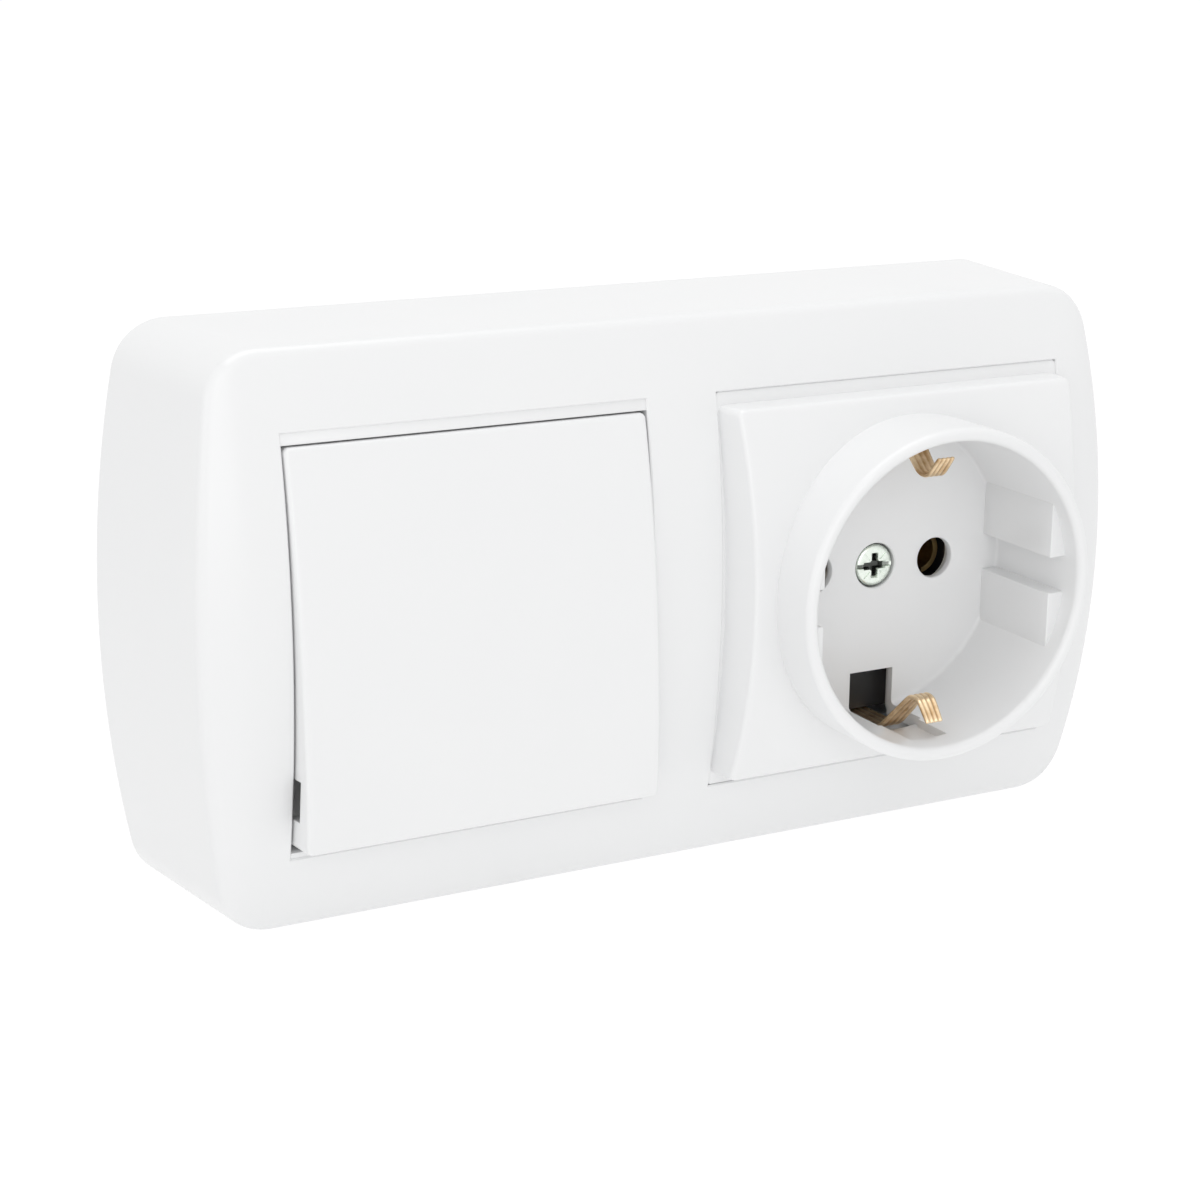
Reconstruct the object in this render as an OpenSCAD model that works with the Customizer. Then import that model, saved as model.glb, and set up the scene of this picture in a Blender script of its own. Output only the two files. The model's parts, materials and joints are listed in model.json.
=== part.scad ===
// Surface-mounted wall switch and earthed socket, side by side in one housing.
// Seen from the front: X runs right and Z runs up. The wall is the plane Y = 0 and the front faces -Y.
// Each piece is drawn in a bench frame, lying on its back: X right, Y up the wall, Z out of the wall.
// on_wall() then stands it up. A size that ends in _d is a depth, measured out from the wall.

/* [Housing] */
// Width across the bulged sides, at the wall
body_w = 136.4; // [132:0.1:150]
// Height at the wall
body_h = 71.6; // [69:0.1:84]
// Depth from the wall to the top and bottom front edges
edge_d = 23.4; // [22.6:0.1:30]
// Radius of the front, which is curved about a level line
front_r = 130; // [100:5:300]
// Radius of the bulged left and right sides
side_r = 155; // [110:5:400]
// Radius of the four corners, seen from the front
corner_r = 7; // [4:0.5:10]
// Lean of each bulged side from the wall to the front
side_lean = 3.7; // [1:0.1:5]
// Lean of the top and bottom from the wall to the front
top_lean = 0.4; // [0.1:0.1:2]
// Wall of the housing
wall_t = 2.2; // [1.6:0.1:3]
// Width of the softly rolled end of the front, at each side
roll_w = 10.2; // [7:0.1:12]
// Radius of that roll
roll_r = 14; // [12:1:24]

/* [Windows] */
// Distance between the middles of the two windows
insert_pitch = 60; // [56:0.5:66]
// Width of the window for the switch
switch_win_w = 48; // [46:0.5:50]
// Width of the window for the socket
socket_win_w = 52.8; // [51:0.1:53.4]
// Height of both windows
win_h = 52; // [50:0.5:54]
// Wall that runs back around each window
rail_t = 1.8; // [1.2:0.1:2.2]
// Depth of the window ledge below the housing's front edges
ledge_drop = 4.6; // [4.2:0.1:5.4]
// Thickness of the ledge
ledge_t = 2.2; // [1.4:0.1:3]
// Width of the ledge
ledge_w = 2.4; // [1.4:0.1:2.8]
// Gap around each insert in its window
insert_gap = 0.12; // [0.05:0.01:0.3]
// How far the inserts' strips lie below the housing's front
insert_sink = 0.25; // [0.1:0.05:0.6]

/* [Base plate] */
// Thickness of the base plate
plate_t = 2.6; // [2:0.1:4]
// Gap between the base plate and the housing's wall
plate_gap = 0.3; // [0.1:0.05:0.8]
// Distance between the wall screws, level
wall_screw_w = 112; // [108:1:114]
// Distance between the wall screws, upright
wall_screw_h = 40; // [30:1:46]
// Radius of the wall screw holes
wall_screw_r = 2.25; // [1.8:0.05:2.8]
// Height of the boss around each wall screw hole
boss_t = 1.6; // [0.8:0.1:3]
// Radius of the cable entry through the grommet
cable_r = 4.2; // [3:0.1:4.6]
// Radius of the grommet's hole in the base plate
grommet_r = 6.2; // [5.6:0.1:6.8]

/* [Rocker] */
// Gap between the rocker and its window, at each side
rocker_gap = 0.4; // [0.3:0.05:0.8]
// Height of the rocker
rocker_h = 47.6; // [46:0.1:47.8]
// Tilt of the rocker at rest, bottom out
rocker_tilt = 5.5; // [3.5:0.5:6]
// How far the level rocker's ends stand out from the housing's front edges
rocker_rise = 5.1; // [4.6:0.1:6]
// Radius of the rocker's curved face
rocker_face_r = 165; // [120:5:400]
// Wall of the rocker
rocker_t = 1.8; // [1.2:0.1:2.2]
// Depth of the rocker's walls, back from its ends
skirt_h = 5.2; // [4.4:0.1:5.6]
// Distance of the rocker's pivot behind its ends
pivot_drop = 6; // [5.4:0.1:6.6]
// Height of the lever notch in the rocker's left wall
notch_h = 6; // [3:0.5:9]
// Depth of the lever notch, from the back of the wall
notch_d = 3.4; // [2:0.1:4]

/* [Switch insert] */
// Height of the frame's strip above and below the rocker
strip_h = 1.45; // [1.2:0.05:1.6]
// Thickness of the switch frame's plate
frame_t = 1.5; // [1:0.1:1.8]
// Width of the switch body
switch_body_w = 36; // [34:1:40]
// Height of the switch body
switch_body_h = 43; // [41:0.5:45]
// Radius of the pivot pins
pivot_r = 1.6; // [1.2:0.1:2]
// Radius of the spring plunger
plunger_r = 1.6; // [1.3:0.1:1.8]
// Thickness of the contact lever
lever_t = 1.4; // [1.2:0.1:1.8]
// Width of the contact lever
lever_w = 7; // [5:0.5:8]
// Reach of the contact lever from its fulcrum to the contact
lever_reach = 10.5; // [9:0.5:11.5]

/* [Socket cover] */
// Radius of the plug recess
recess_r = 19.9; // [19.5:0.1:20.5]
// Depth of the plug recess
recess_depth = 17.5; // [17:0.1:18.5]
// Wall of the collar
collar_t = 1.8; // [1.4:0.1:2.2]
// How far the collar stands out from the block
collar_h = 7.2; // [5:0.1:9]
// How far the block's curved face stands out from the housing
block_rise = 5.5; // [4.4:0.1:7]
// Radius of the block's curved face
block_face_r = 75; // [70:5:150]
// Height of the raised block
block_h = 48.4; // [47:0.1:49]
// Lean of the block's left and right walls
block_lean = 1.6; // [0.4:0.1:2]
// Wall of the cover
cover_t = 2; // [1.4:0.1:2.4]
// Thickness of the recess floor
floor_t = 2.7; // [2.2:0.1:3.4]
// Distance between the plug's pins
pin_pitch = 19; // [18.5:0.1:19.5]
// Radius of the pin holes
pin_hole_r = 2.7; // [2.5:0.05:3]
// Half the distance between the flat guide pads
pad_x = 17.4; // [16.8:0.1:18]
// Width of the groove between the guide pads
pad_groove = 4.8; // [4:0.1:6]
// How far the guide pads stop below the rim
pad_drop = 3; // [1.5:0.1:5]

/* [Socket insert] */
// Width of the socket body
socket_body_w = 38; // [36:0.5:40]
// Height of the socket body
socket_body_h = 41; // [40:0.5:42]
// Thickness of the earth strap
strap_t = 0.8; // [0.6:0.05:1]
// Width of the earth strap
strap_w = 5; // [4:0.1:5.6]
// Width of the earth clips
clip_w = 3.2; // [2.6:0.1:4]
// Distance from the middle of the recess to the clips' ridges
clip_ridge = 14.75; // [14.2:0.05:15.5]
// Depth of the clips' ridges below the rim
clip_drop = 5.9; // [4.5:0.1:7]
// Width of the earth openings
earth_gap_w = 6.8; // [6.2:0.1:7.6]
// Radius of the plug pins that the contacts grip
pin_r = 2.4; // [2.3:0.05:2.45]
// Wall of the pin contacts
contact_t = 0.7; // [0.5:0.05:0.9]

/* [Screws] */
// Radius of the centre screw's head
centre_head_r = 2.85; // [2.4:0.05:3]
// Radius of the centre screw's shank
centre_shank_r = 1.75; // [1.4:0.05:1.9]
// Radius of the insert screws' heads
fix_head_r = 2.4; // [2:0.1:2.6]
// Radius of the insert screws' shanks
fix_shank_r = 1.3; // [1:0.05:1.4]
// Radius of the terminal screws
terminal_r = 1.5; // [1.2:0.05:1.7]

/* [Hidden] */
$fn = 64;
// Margin by which a cut passes the face it cuts
cut = 1;
// Thickness of the thin slices that a lofted form is stretched between
slice = 0.01;
// Running clearance of a pin in its hole
run_gap = 0.05;
// Gap between pieces that seat without moving
seat_gap = 0.1;

switch_x = -insert_pitch / 2;
socket_x = insert_pitch / 2;
// Depth of the line that the housing's front is curved about, behind the wall plane
face_axis_d = edge_d - sqrt(front_r * front_r - body_h * body_h / 4);
face_d = face_axis_d + front_r;
ledge_d = edge_d - ledge_drop;
rail_back_d = ledge_d - ledge_t;
strip_axis_r = front_r - insert_sink;

// Rocker and switch mechanism
rocker_w = switch_win_w - 2 * rocker_gap;
rocker_edge_d = edge_d + rocker_rise;
rocker_axis_d = rocker_edge_d - sqrt(rocker_face_r * rocker_face_r - rocker_h * rocker_h / 4);
rocker_back_d = rocker_edge_d - skirt_h;
rocker_inner_d = rocker_axis_d + rocker_face_r - rocker_t;
pivot_d = rocker_edge_d - pivot_drop;
switch_body_d = ledge_d - 3.4;
leg_w = 10;
barb_d = switch_body_d - 4;
barb_h = 1.2;
frame_open_w = 33.5;
frame_open_h = 38;
tower_x = 12.2;
tower_t = 2.8;
tower_w = 8;
tower_wall = 2;
cheek_x = tower_x - 0.5;
cheek_t = 1.6;
carrier_plate_t = 1.8;
peg_h = 1.6;
carrier_front_d = rocker_inner_d - peg_h;
carrier_back_d = carrier_front_d - carrier_plate_t;
carrier_h = 18;
barrel_wall = 1.5;
barrel_reach = 7.4;
// The plunger's round nose is centred this far behind the pivot
nose_reach = 9.4;
// Gap between the plunger's nose and the lever when the rocker is level
nose_gap = 0.2;
fulcrum_d = pivot_d - nose_reach - plunger_r - nose_gap - lever_t;
fulcrum_r = 0.6;
tip_r = 1.7;
tip_t = 0.8;
tip_gap = 0.12;
// Depth of the fixed contact's face, just behind the moving one when the lever is pressed home
fixed_face_d = fulcrum_d - tip_t * cos(rocker_tilt) - (lever_reach + tip_r) * sin(rocker_tilt) - tip_gap;
chamber_w = lever_w + 3;
chamber_h = 2 * (lever_reach + tip_r + 1.2);
sheet_t = 1;
load_sheet_d = fixed_face_d - tip_t - sheet_t;
chamber_floor_d = plate_t + 1.6;
terminal_y = chamber_h / 2 + 3.2;
terminal_w = 7;
terminal_h = 5;
terminal_depth = 7;
pocket_gap = 0.15;
slot_w = 0.8;
nose_d = pivot_d - nose_reach;
plunger_back_d = nose_d + 4.4;
spring_r = 1.15;
spring_wire = 0.35;
spring_turns = 6;
spring_sides = 6;
spring_steps = 12;

// Socket cover and insert
block_d = face_d + block_rise;
block_axis_d = block_d - block_face_r;
lean_start_d = edge_d + 2;
rim_d = block_d + collar_h;
floor_d = rim_d - recess_depth;
floor_back_d = floor_d - floor_t;
collar_r = recess_r + collar_t;
socket_body_d = floor_back_d - seat_gap;
strap_front_d = plate_t + strap_t;
cover_w = socket_win_w - 2 * insert_gap;
cover_h = win_h - 2 * insert_gap;
flange_t = 2;
screw_bed_d = floor_d - 1.6;
centre_head_h = 1.45;
ridge_d = rim_d - clip_drop;
clip_back_y = socket_body_h / 2 + seat_gap + strap_t / 2;
clip_slope = 1.16;
clip_fold_d = ridge_d - (clip_back_y - clip_ridge) * clip_slope;
clip_tip_y = clip_ridge + 2.7;
clip_tip_d = ridge_d + 3.1;
clip_bend_r = 1;
bend_steps = 6;
rib_count = 4;
rib_share = 0.7;
earth_gap_y = clip_ridge - 0.3;
earth_gap_d = clip_fold_d + (clip_back_y - recess_r) * clip_slope + 1.4;
contact_in_r = pin_r + 0.05;
contact_out_r = contact_in_r + contact_t;
contact_slit = 1.2;
contact_back_d = plate_t + 5;
contact_front_d = socket_body_d - 1;
pocket_w = 2 * contact_out_r + 1.2;
socket_terminal_x = 7;
socket_terminal_y = 12.5;
tail_w = 3;
tail_x = socket_terminal_x + 0.8;
shank_gap = 0.2;
nut_w = 6;
nut_t = 2.5;
nut_d = strap_front_d + seat_gap;

// Insert screws, four for each body, measured from the middle of the body
fix_x = 14.6;
fix_y = 16.6;
fix_floor_d = plate_t + 3.4;
fix_head_h = 1.8;

// Stands a piece up against the wall plane
module on_wall() {
    rotate([90, 0, 0]) children();
}

// A block given by its middle in X and Y, its size, and its back and front depths
module block(x, y, w, h, back, front) {
    translate([x - w / 2, y - h / 2, back]) cube([w, h, front - back]);
}

// A round bar or hole along the depth
module round_bar(x, y, r, back, front) {
    translate([x, y, back]) cylinder(r = r, h = front - back);
}

// A drawing with X as height and Y as depth, extruded along X about the middle
module along_x(w) {
    rotate([90, 0, 90]) linear_extrude(height = w, center = true) children();
}

// A drawing with X as width and Y as depth, extruded along the height about the middle
module along_y(h) {
    rotate([90, 0, 0]) linear_extrude(height = h, center = true) children();
}

// Everything behind a face of the given radius, curved about a level line at the given depth
module behind_face(r, axis_d, w) {
    translate([0, 0, axis_d]) along_x(w) circle(r = r, $fn = 180);
}

// Outline of the housing, seen from the front: straight top and bottom, bulged sides, round corners
module housing_outline(half_w, half_h, bulge_r, r) {
    corner_y = half_h - r;
    bulge_x = half_w - bulge_r;
    corner_x = bulge_x + sqrt((bulge_r - r) * (bulge_r - r) - corner_y * corner_y);
    hull() {
        for (sx = [-1, 1]) {
            for (sy = [-1, 1]) translate([sx * corner_x, sy * corner_y]) circle(r = r, $fn = 48);
            intersection() {
                translate([sx * bulge_x, 0]) circle(r = bulge_r, $fn = 360);
                translate([sx * corner_x, 0]) square([2 * r + body_w, 2 * corner_y], center = true);
                translate([sx * body_w / 2, 0]) square([body_w, body_h], center = true);
            }
        }
    }
}

// The housing's outer form, or its hollow when inset by the wall
module housing_form(inset) {
    intersection() {
        hull() {
            linear_extrude(height = slice)
                housing_outline(body_w / 2 - inset, body_h / 2 - inset, side_r - inset, corner_r - inset);
            translate([0, 0, face_d + slice]) linear_extrude(height = slice)
                housing_outline(body_w / 2 - inset - side_lean, body_h / 2 - inset - top_lean,
                                side_r - inset, corner_r - inset);
        }
        rolled_front(inset);
    }
}

// Solid behind the curved front, whose two ends roll back softly
module rolled_front(inset) {
    flat = body_w - 2 * roll_w;
    r = front_r - inset;
    roll = roll_r - inset;
    translate([0, 0, face_axis_d]) rotate([0, 90, 0]) rotate_extrude($fn = 180) {
        translate([0, -flat / 2]) square([r, flat]);
        translate([0, -flat / 2 - roll]) square([r - roll, flat + 2 * roll]);
        for (s = [-1, 1]) translate([r - roll, s * flat / 2]) circle(r = roll);
    }
}

// Wall around a window that carries the ledge
module window_rail(x, w) {
    intersection() {
        block(x, 0, w + 2 * rail_t, win_h + 2 * rail_t, rail_back_d, face_d);
        behind_face(front_r - wall_t / 2, face_axis_d, 2 * body_w);
    }
}

// The window and the smaller opening behind its ledge
module window_cut(x, w) {
    block(x, 0, w, win_h, ledge_d, face_d + cut);
    block(x, 0, w - 2 * ledge_w, win_h - 2 * ledge_w, rail_back_d - cut, ledge_d + cut);
}

// Ribs inside the top and bottom walls, which seat on the base plate
module stop_ribs() {
    rib_t = 1.6;
    rib_h = 3.2;
    rib_depth = 9;
    into_wall = wall_t / 2;
    for (share = [-0.36, -0.14, 0.14, 0.36], s = [-1, 1])
        block(share * body_w, s * (body_h / 2 - wall_t + into_wall - rib_h / 2), rib_t, rib_h,
              plate_t, plate_t + rib_depth);
}

module housing() {
    color("white") on_wall() difference() {
        union() {
            difference() {
                housing_form(0);
                translate([0, 0, -slice * 2]) housing_form(wall_t);
            }
            window_rail(switch_x, switch_win_w);
            window_rail(socket_x, socket_win_w);
            stop_ribs();
        }
        window_cut(switch_x, switch_win_w);
        window_cut(socket_x, socket_win_w);
    }
}

module base_plate() {
    lean = side_lean * plate_t / face_d;
    inset = wall_t + plate_gap + lean;
    color("white") on_wall() difference() {
        union() {
            linear_extrude(height = plate_t)
                housing_outline(body_w / 2 - inset, body_h / 2 - inset, side_r - inset, corner_r - inset / 2);
            at_wall_screws() round_bar(0, 0, wall_screw_r + 2.2, plate_t - cut, plate_t + boss_t);
        }
        at_wall_screws() round_bar(0, 0, wall_screw_r, -cut, plate_t + boss_t + cut);
        round_bar(0, 0, grommet_r, -cut, plate_t + cut);
        at_fix_screws(switch_x) round_bar(0, 0, fix_shank_r + run_gap, -cut, plate_t + cut);
        at_fix_screws(socket_x) round_bar(0, 0, fix_shank_r + run_gap, -cut, plate_t + cut);
    }
}

// The four wall screw positions
module at_wall_screws() {
    for (sx = [-1, 1], sy = [-1, 1]) translate([sx * wall_screw_w / 2, sy * wall_screw_h / 2, 0]) children();
}

// The four screw positions of a body whose middle is at x
module at_fix_screws(x) {
    for (sx = [-1, 1], sy = [-1, 1]) translate([x + sx * fix_x, sy * fix_y, 0]) children();
}

module cable_grommet() {
    lip_r = grommet_r + 1.2;
    lip_t = 1.2;
    nose_h = 3;
    color("dimgray") on_wall() difference() {
        union() {
            round_bar(0, 0, grommet_r - run_gap, 0.2, plate_t + slice);
            round_bar(0, 0, lip_r, plate_t, plate_t + lip_t);
            translate([0, 0, plate_t + lip_t]) cylinder(r1 = lip_r - 0.8, r2 = cable_r + 0.8, h = nose_h);
        }
        round_bar(0, 0, cable_r, -cut, plate_t + lip_t + nose_h + cut);
    }
}

// Screw wells and through holes of a body that is screwed to the base plate
module fix_wells(x, front) {
    at_fix_screws(x) {
        round_bar(0, 0, fix_head_r + 0.3, fix_floor_d, front + cut);
        round_bar(0, 0, fix_shank_r + run_gap, plate_t - cut, fix_floor_d + cut);
    }
}

module insert_screws() {
    slot_t = 0.8;
    top_d = fix_floor_d + fix_head_h;
    color("silver") on_wall() for (x = [switch_x, socket_x]) at_fix_screws(x) difference() {
        union() {
            round_bar(0, 0, fix_shank_r, 0.4, fix_floor_d + slice);
            round_bar(0, 0, fix_head_r, fix_floor_d, top_d);
        }
        block(0, 0, 2 * fix_head_r + cut, slot_w, top_d - slot_t, top_d + cut);
    }
}

// Frame that fills the switch window: strips above and below the rocker, and a plate behind it
module switch_frame() {
    w = switch_win_w - 2 * insert_gap;
    front = ledge_d + frame_t;
    leg_t = 1.4;
    leg_gap = 0.3;
    leg_x = switch_body_w / 2 + leg_gap + leg_t / 2;
    barb = 0.9;
    color("white") on_wall() translate([switch_x, 0, 0]) union() {
        difference() {
            block(0, 0, w, cover_h, ledge_d, front);
            block(0, 0, frame_open_w, frame_open_h, ledge_d - cut, front + cut);
        }
        intersection() {
            union() for (s = [-1, 1])
                block(0, s * (cover_h - strip_h) / 2, w, strip_h, ledge_d, face_d);
            behind_face(strip_axis_r, face_axis_d, body_w);
        }
        for (s = [-1, 1]) {
            block(s * leg_x, 0, leg_t, leg_w, barb_d - barb_h, front);
            block(s * (leg_x - leg_t / 2 - barb / 2 + slice), 0, barb, leg_w, barb_d - barb_h, barb_d);
        }
    }
}

// Pocket for a terminal block, open to the front, with its wire hole
module terminal_pocket(x, y, back, front, end_y) {
    block(x, y, terminal_w + 2 * pocket_gap, terminal_h + 2 * pocket_gap, back - pocket_gap, front + cut);
    translate([x, y, wire_d(back)]) rotate([end_y > 0 ? -90 : 90, 0, 0])
        cylinder(r = terminal_r + 2 * pocket_gap, h = abs(end_y - y) + cut);
}

// Depth of the wire hole in a terminal block that starts at the given depth
function wire_d(back) = back + 2.6;

// Brass terminal block with its wire hole and its screw hole
module terminal_block(x, y, back) {
    difference() {
        block(x, y, terminal_w, terminal_h, back, back + terminal_depth);
        translate([x, y, wire_d(back)]) rotate([90, 0, 0])
            cylinder(r = terminal_r + 0.1, h = terminal_h + 2 * cut, center = true);
        round_bar(x, y, terminal_r + run_gap, wire_d(back), back + terminal_depth + cut);
    }
}

// Slotted screw of a terminal block
module terminal_screw(x, y, back) {
    front = back + terminal_depth;
    head_r = terminal_r + 0.8;
    head_h = 1.4;
    tip_room = 0.4;
    slot = slot_w * 0.9;
    difference() {
        union() {
            round_bar(x, y, terminal_r, wire_d(back) + tip_room, front + slice);
            round_bar(x, y, head_r, front, front + head_h);
        }
        block(x, y, 2 * head_r + cut, slot, front + head_h - slot, front + head_h + cut);
    }
}

module switch_body() {
    tower_top_d = pivot_d + pivot_r + tower_wall / 2;
    rib_face_d = fulcrum_d - (lever_reach + tip_r) * sin(rocker_tilt) - tip_gap;
    sheet_room = lever_w - 0.8;
    barb_slot = 2;
    color("dimgray") on_wall() translate([switch_x, 0, 0]) difference() {
        union() {
            difference() {
                block(0, 0, switch_body_w, switch_body_h, plate_t, switch_body_d);
                block(0, 0, chamber_w, chamber_h, chamber_floor_d, switch_body_d + cut);
            }
            block(0, lever_reach, chamber_w + cut, 2 * tip_r + 1,
                  chamber_floor_d - cut, load_sheet_d - seat_gap);
            block(0, -lever_reach, chamber_w + cut, 2 * tip_r,
                  chamber_floor_d + sheet_t + seat_gap, rib_face_d);
            for (s = [-1, 1])
                block(s * (tower_x + tower_t / 2), 0, tower_t, tower_w, switch_body_d - cut, tower_top_d);
        }
        terminal_pocket(0, -terminal_y, chamber_floor_d, switch_body_d, -switch_body_h / 2);
        terminal_pocket(0, terminal_y, load_sheet_d, switch_body_d, switch_body_h / 2);
        block(0, -(terminal_y + terminal_h) / 2, sheet_room, terminal_y,
              chamber_floor_d, chamber_floor_d + sheet_t + seat_gap);
        block(0, terminal_y - terminal_h / 2, sheet_room, terminal_h,
              load_sheet_d - seat_gap, load_sheet_d + sheet_t + seat_gap);
        translate([0, 0, pivot_d]) rotate([0, 90, 0])
            cylinder(r = pivot_r + run_gap, h = 2 * (tower_x + tower_t) + 2 * cut, center = true);
        for (s = [-1, 1])
            block(s * switch_body_w / 2, 0, barb_slot, leg_w + cut,
                  barb_d - barb_h - seat_gap, barb_d + seat_gap);
        translate([-switch_x, 0, 0]) fix_wells(switch_x, switch_body_d);
    }
}

// Brass sheet along the chamber floor, a post whose round top is the lever's fulcrum, and a terminal
module common_terminal() {
    sheet_w = lever_w - 1;
    near = 2 * fulcrum_r;
    far = terminal_y + terminal_h / 2;
    color("goldenrod") on_wall() translate([switch_x, 0, 0]) union() {
        block(0, (near - far) / 2, sheet_w, near + far, chamber_floor_d, chamber_floor_d + sheet_t);
        block(0, 0, sheet_w, 2 * fulcrum_r, chamber_floor_d, fulcrum_d);
        translate([0, 0, fulcrum_d]) rotate([0, 90, 0])
            cylinder(r = fulcrum_r, h = sheet_w, center = true);
        terminal_block(0, -terminal_y, chamber_floor_d + sheet_t - slice);
    }
}

// Brass sheet from under the fixed contact to its terminal
module load_terminal() {
    near = lever_reach - tip_r;
    far = terminal_y + terminal_h / 2;
    color("goldenrod") on_wall() translate([switch_x, 0, 0]) union() {
        block(0, (near + far) / 2, lever_w - 1, far - near, load_sheet_d, load_sheet_d + sheet_t);
        terminal_block(0, terminal_y, load_sheet_d + sheet_t - slice);
    }
}

module fixed_tip() {
    color("silver") on_wall()
        round_bar(switch_x, lever_reach, tip_r, load_sheet_d + sheet_t, fixed_face_d);
}

module switch_terminal_screws() {
    color("silver") on_wall() {
        terminal_screw(switch_x, -terminal_y, chamber_floor_d + sheet_t);
        terminal_screw(switch_x, terminal_y, load_sheet_d + sheet_t);
    }
}

// Tilts a piece about a level line at the given depth
module tilted(angle, depth) {
    translate([0, 0, depth]) rotate([angle, 0, 0]) translate([0, 0, -depth]) children();
}

// Rocking brass lever with two low cheeks that keep the plunger on it
module contact_lever() {
    cheek = 0.8;
    cheek_h = 1.3;
    front_d = fulcrum_d + lever_t;
    color("goldenrod") on_wall() translate([switch_x, 0, 0]) tilted(rocker_tilt, fulcrum_d) difference() {
        union() {
            block(0, 0, lever_w, 2 * lever_reach, fulcrum_d, front_d);
            for (s = [-1, 1]) {
                intersection() {
                    round_bar(0, s * (lever_reach - lever_w / 2 + tip_r), lever_w / 2, fulcrum_d, front_d);
                    block(0, s * (lever_reach + tip_r / 2), lever_w, tip_r, fulcrum_d - cut, front_d + cut);
                }
                block(s * (lever_w - cheek) / 2, 0, cheek, lever_w, fulcrum_d, front_d + cheek_h);
            }
        }
        translate([0, 0, fulcrum_d]) rotate([0, 90, 0])
            cylinder(r = fulcrum_r + run_gap, h = lever_w + 2 * cut, center = true);
    }
}

module moving_tip() {
    color("silver") on_wall() translate([switch_x, 0, 0]) tilted(rocker_tilt, fulcrum_d)
        round_bar(0, lever_reach, tip_r, fulcrum_d - tip_t, fulcrum_d);
}

// Carrier that the rocker is pressed onto: plate, two cheeks with pivot pins, and the plunger's barrel
module rocker_carrier() {
    barrel_r = plunger_r + run_gap + barrel_wall;
    pin_reach = tower_x + tower_t - seat_gap;
    cheek_w = 7;
    cheek_low_d = pivot_d - pivot_r - 1;
    web_t = 1.2;
    web_w = cheek_x - barrel_r + 1;
    color("whitesmoke") on_wall() translate([switch_x, 0, 0]) tilted(-rocker_tilt, pivot_d) difference() {
        union() {
            block(0, 0, 2 * cheek_x, carrier_h, carrier_back_d, carrier_front_d);
            round_bar(0, 0, barrel_r, pivot_d - barrel_reach, carrier_back_d + slice);
            for (s = [-1, 1]) {
                block(s * (cheek_x - cheek_t / 2), 0, cheek_t, cheek_w, cheek_low_d, carrier_back_d + slice);
                block(s * (cheek_x + barrel_r) / 2, 0, web_w, web_t, pivot_d - 1, carrier_back_d + slice);
                translate([s * (cheek_x - cheek_t), 0, pivot_d]) rotate([0, s * 90, 0])
                    cylinder(r = pivot_r, h = pin_reach - cheek_x + cheek_t);
            }
        }
        round_bar(0, 0, plunger_r + run_gap, pivot_d - barrel_reach - cut, carrier_back_d - slice);
    }
}

module plunger() {
    color("whitesmoke") on_wall() translate([switch_x, 0, 0]) tilted(-rocker_tilt, pivot_d) union() {
        round_bar(0, 0, plunger_r, nose_d, plunger_back_d);
        translate([0, 0, nose_d]) sphere(r = plunger_r);
    }
}

// Compression spring between the plunger and the carrier, swept along a helix
module plunger_spring() {
    wire_r = spring_wire / 2;
    low = plunger_back_d + wire_r + slice;
    high = carrier_back_d - wire_r - 2 * slice;
    steps = spring_turns * spring_steps;
    rings = [for (i = [0:steps]) let (a = 360 * i / spring_steps, z = low + (high - low) * i / steps)
        [for (k = [0:spring_sides - 1]) let (b = 360 * k / spring_sides, r = spring_r + wire_r * cos(b))
            [r * cos(a), r * sin(a), z + wire_r * sin(b)]]];
    points = [for (ring = rings, p = ring) p];
    sides = [for (i = [0:steps - 1], k = [0:spring_sides - 1])
        let (n = (k + 1) % spring_sides, o = i * spring_sides)
        [o + k, o + spring_sides + k, o + spring_sides + n, o + n]];
    first = [for (k = [0:spring_sides - 1]) k];
    last = [for (k = [spring_sides - 1:-1:0]) steps * spring_sides + k];
    color("silver") on_wall() translate([switch_x, 0, 0]) tilted(-rocker_tilt, pivot_d)
        polyhedron(points = points, faces = concat(sides, [first, last]));
}

// Rocker: a shallow cap with a curved face, pegs that grip the carrier, and a lever notch at lower left
module rocker() {
    inner_w = rocker_w - 2 * rocker_t;
    inner_h = rocker_h - 2 * rocker_t;
    peg_x = cheek_x - 2.5;
    peg_w = 2;
    peg_h = carrier_h - 6;
    rib_t = 1.2;
    top_d = rocker_inner_d + cut / 2;
    rib_y = carrier_h / 2 + 2;
    color("white") on_wall() translate([switch_x, 0, 0]) tilted(-rocker_tilt, pivot_d) difference() {
        union() {
            difference() {
                intersection() {
                    block(0, 0, rocker_w, rocker_h, rocker_back_d, rocker_back_d + 2 * skirt_h);
                    behind_face(rocker_face_r, rocker_axis_d, 2 * rocker_w);
                }
                intersection() {
                    block(0, 0, inner_w, inner_h, rocker_back_d - cut, rocker_back_d + 2 * skirt_h);
                    behind_face(rocker_face_r - rocker_t, rocker_axis_d, 2 * rocker_w);
                }
            }
            intersection() {
                union() {
                    for (s = [-1, 1]) block(s * peg_x, 0, peg_w, peg_h, carrier_front_d, top_d);
                    for (s = [-1, 1]) block(0, s * rib_y, inner_w + cut, rib_t, carrier_front_d - 1, top_d);
                }
                behind_face(rocker_face_r - rocker_t / 2, rocker_axis_d, 2 * rocker_w);
            }
        }
        block(-rocker_w / 2, -(rocker_h / 2 - rocker_t - notch_h / 2), 2 * rocker_t + cut / 2, notch_h,
              rocker_back_d - cut, rocker_back_d + notch_d);
    }
}

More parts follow.
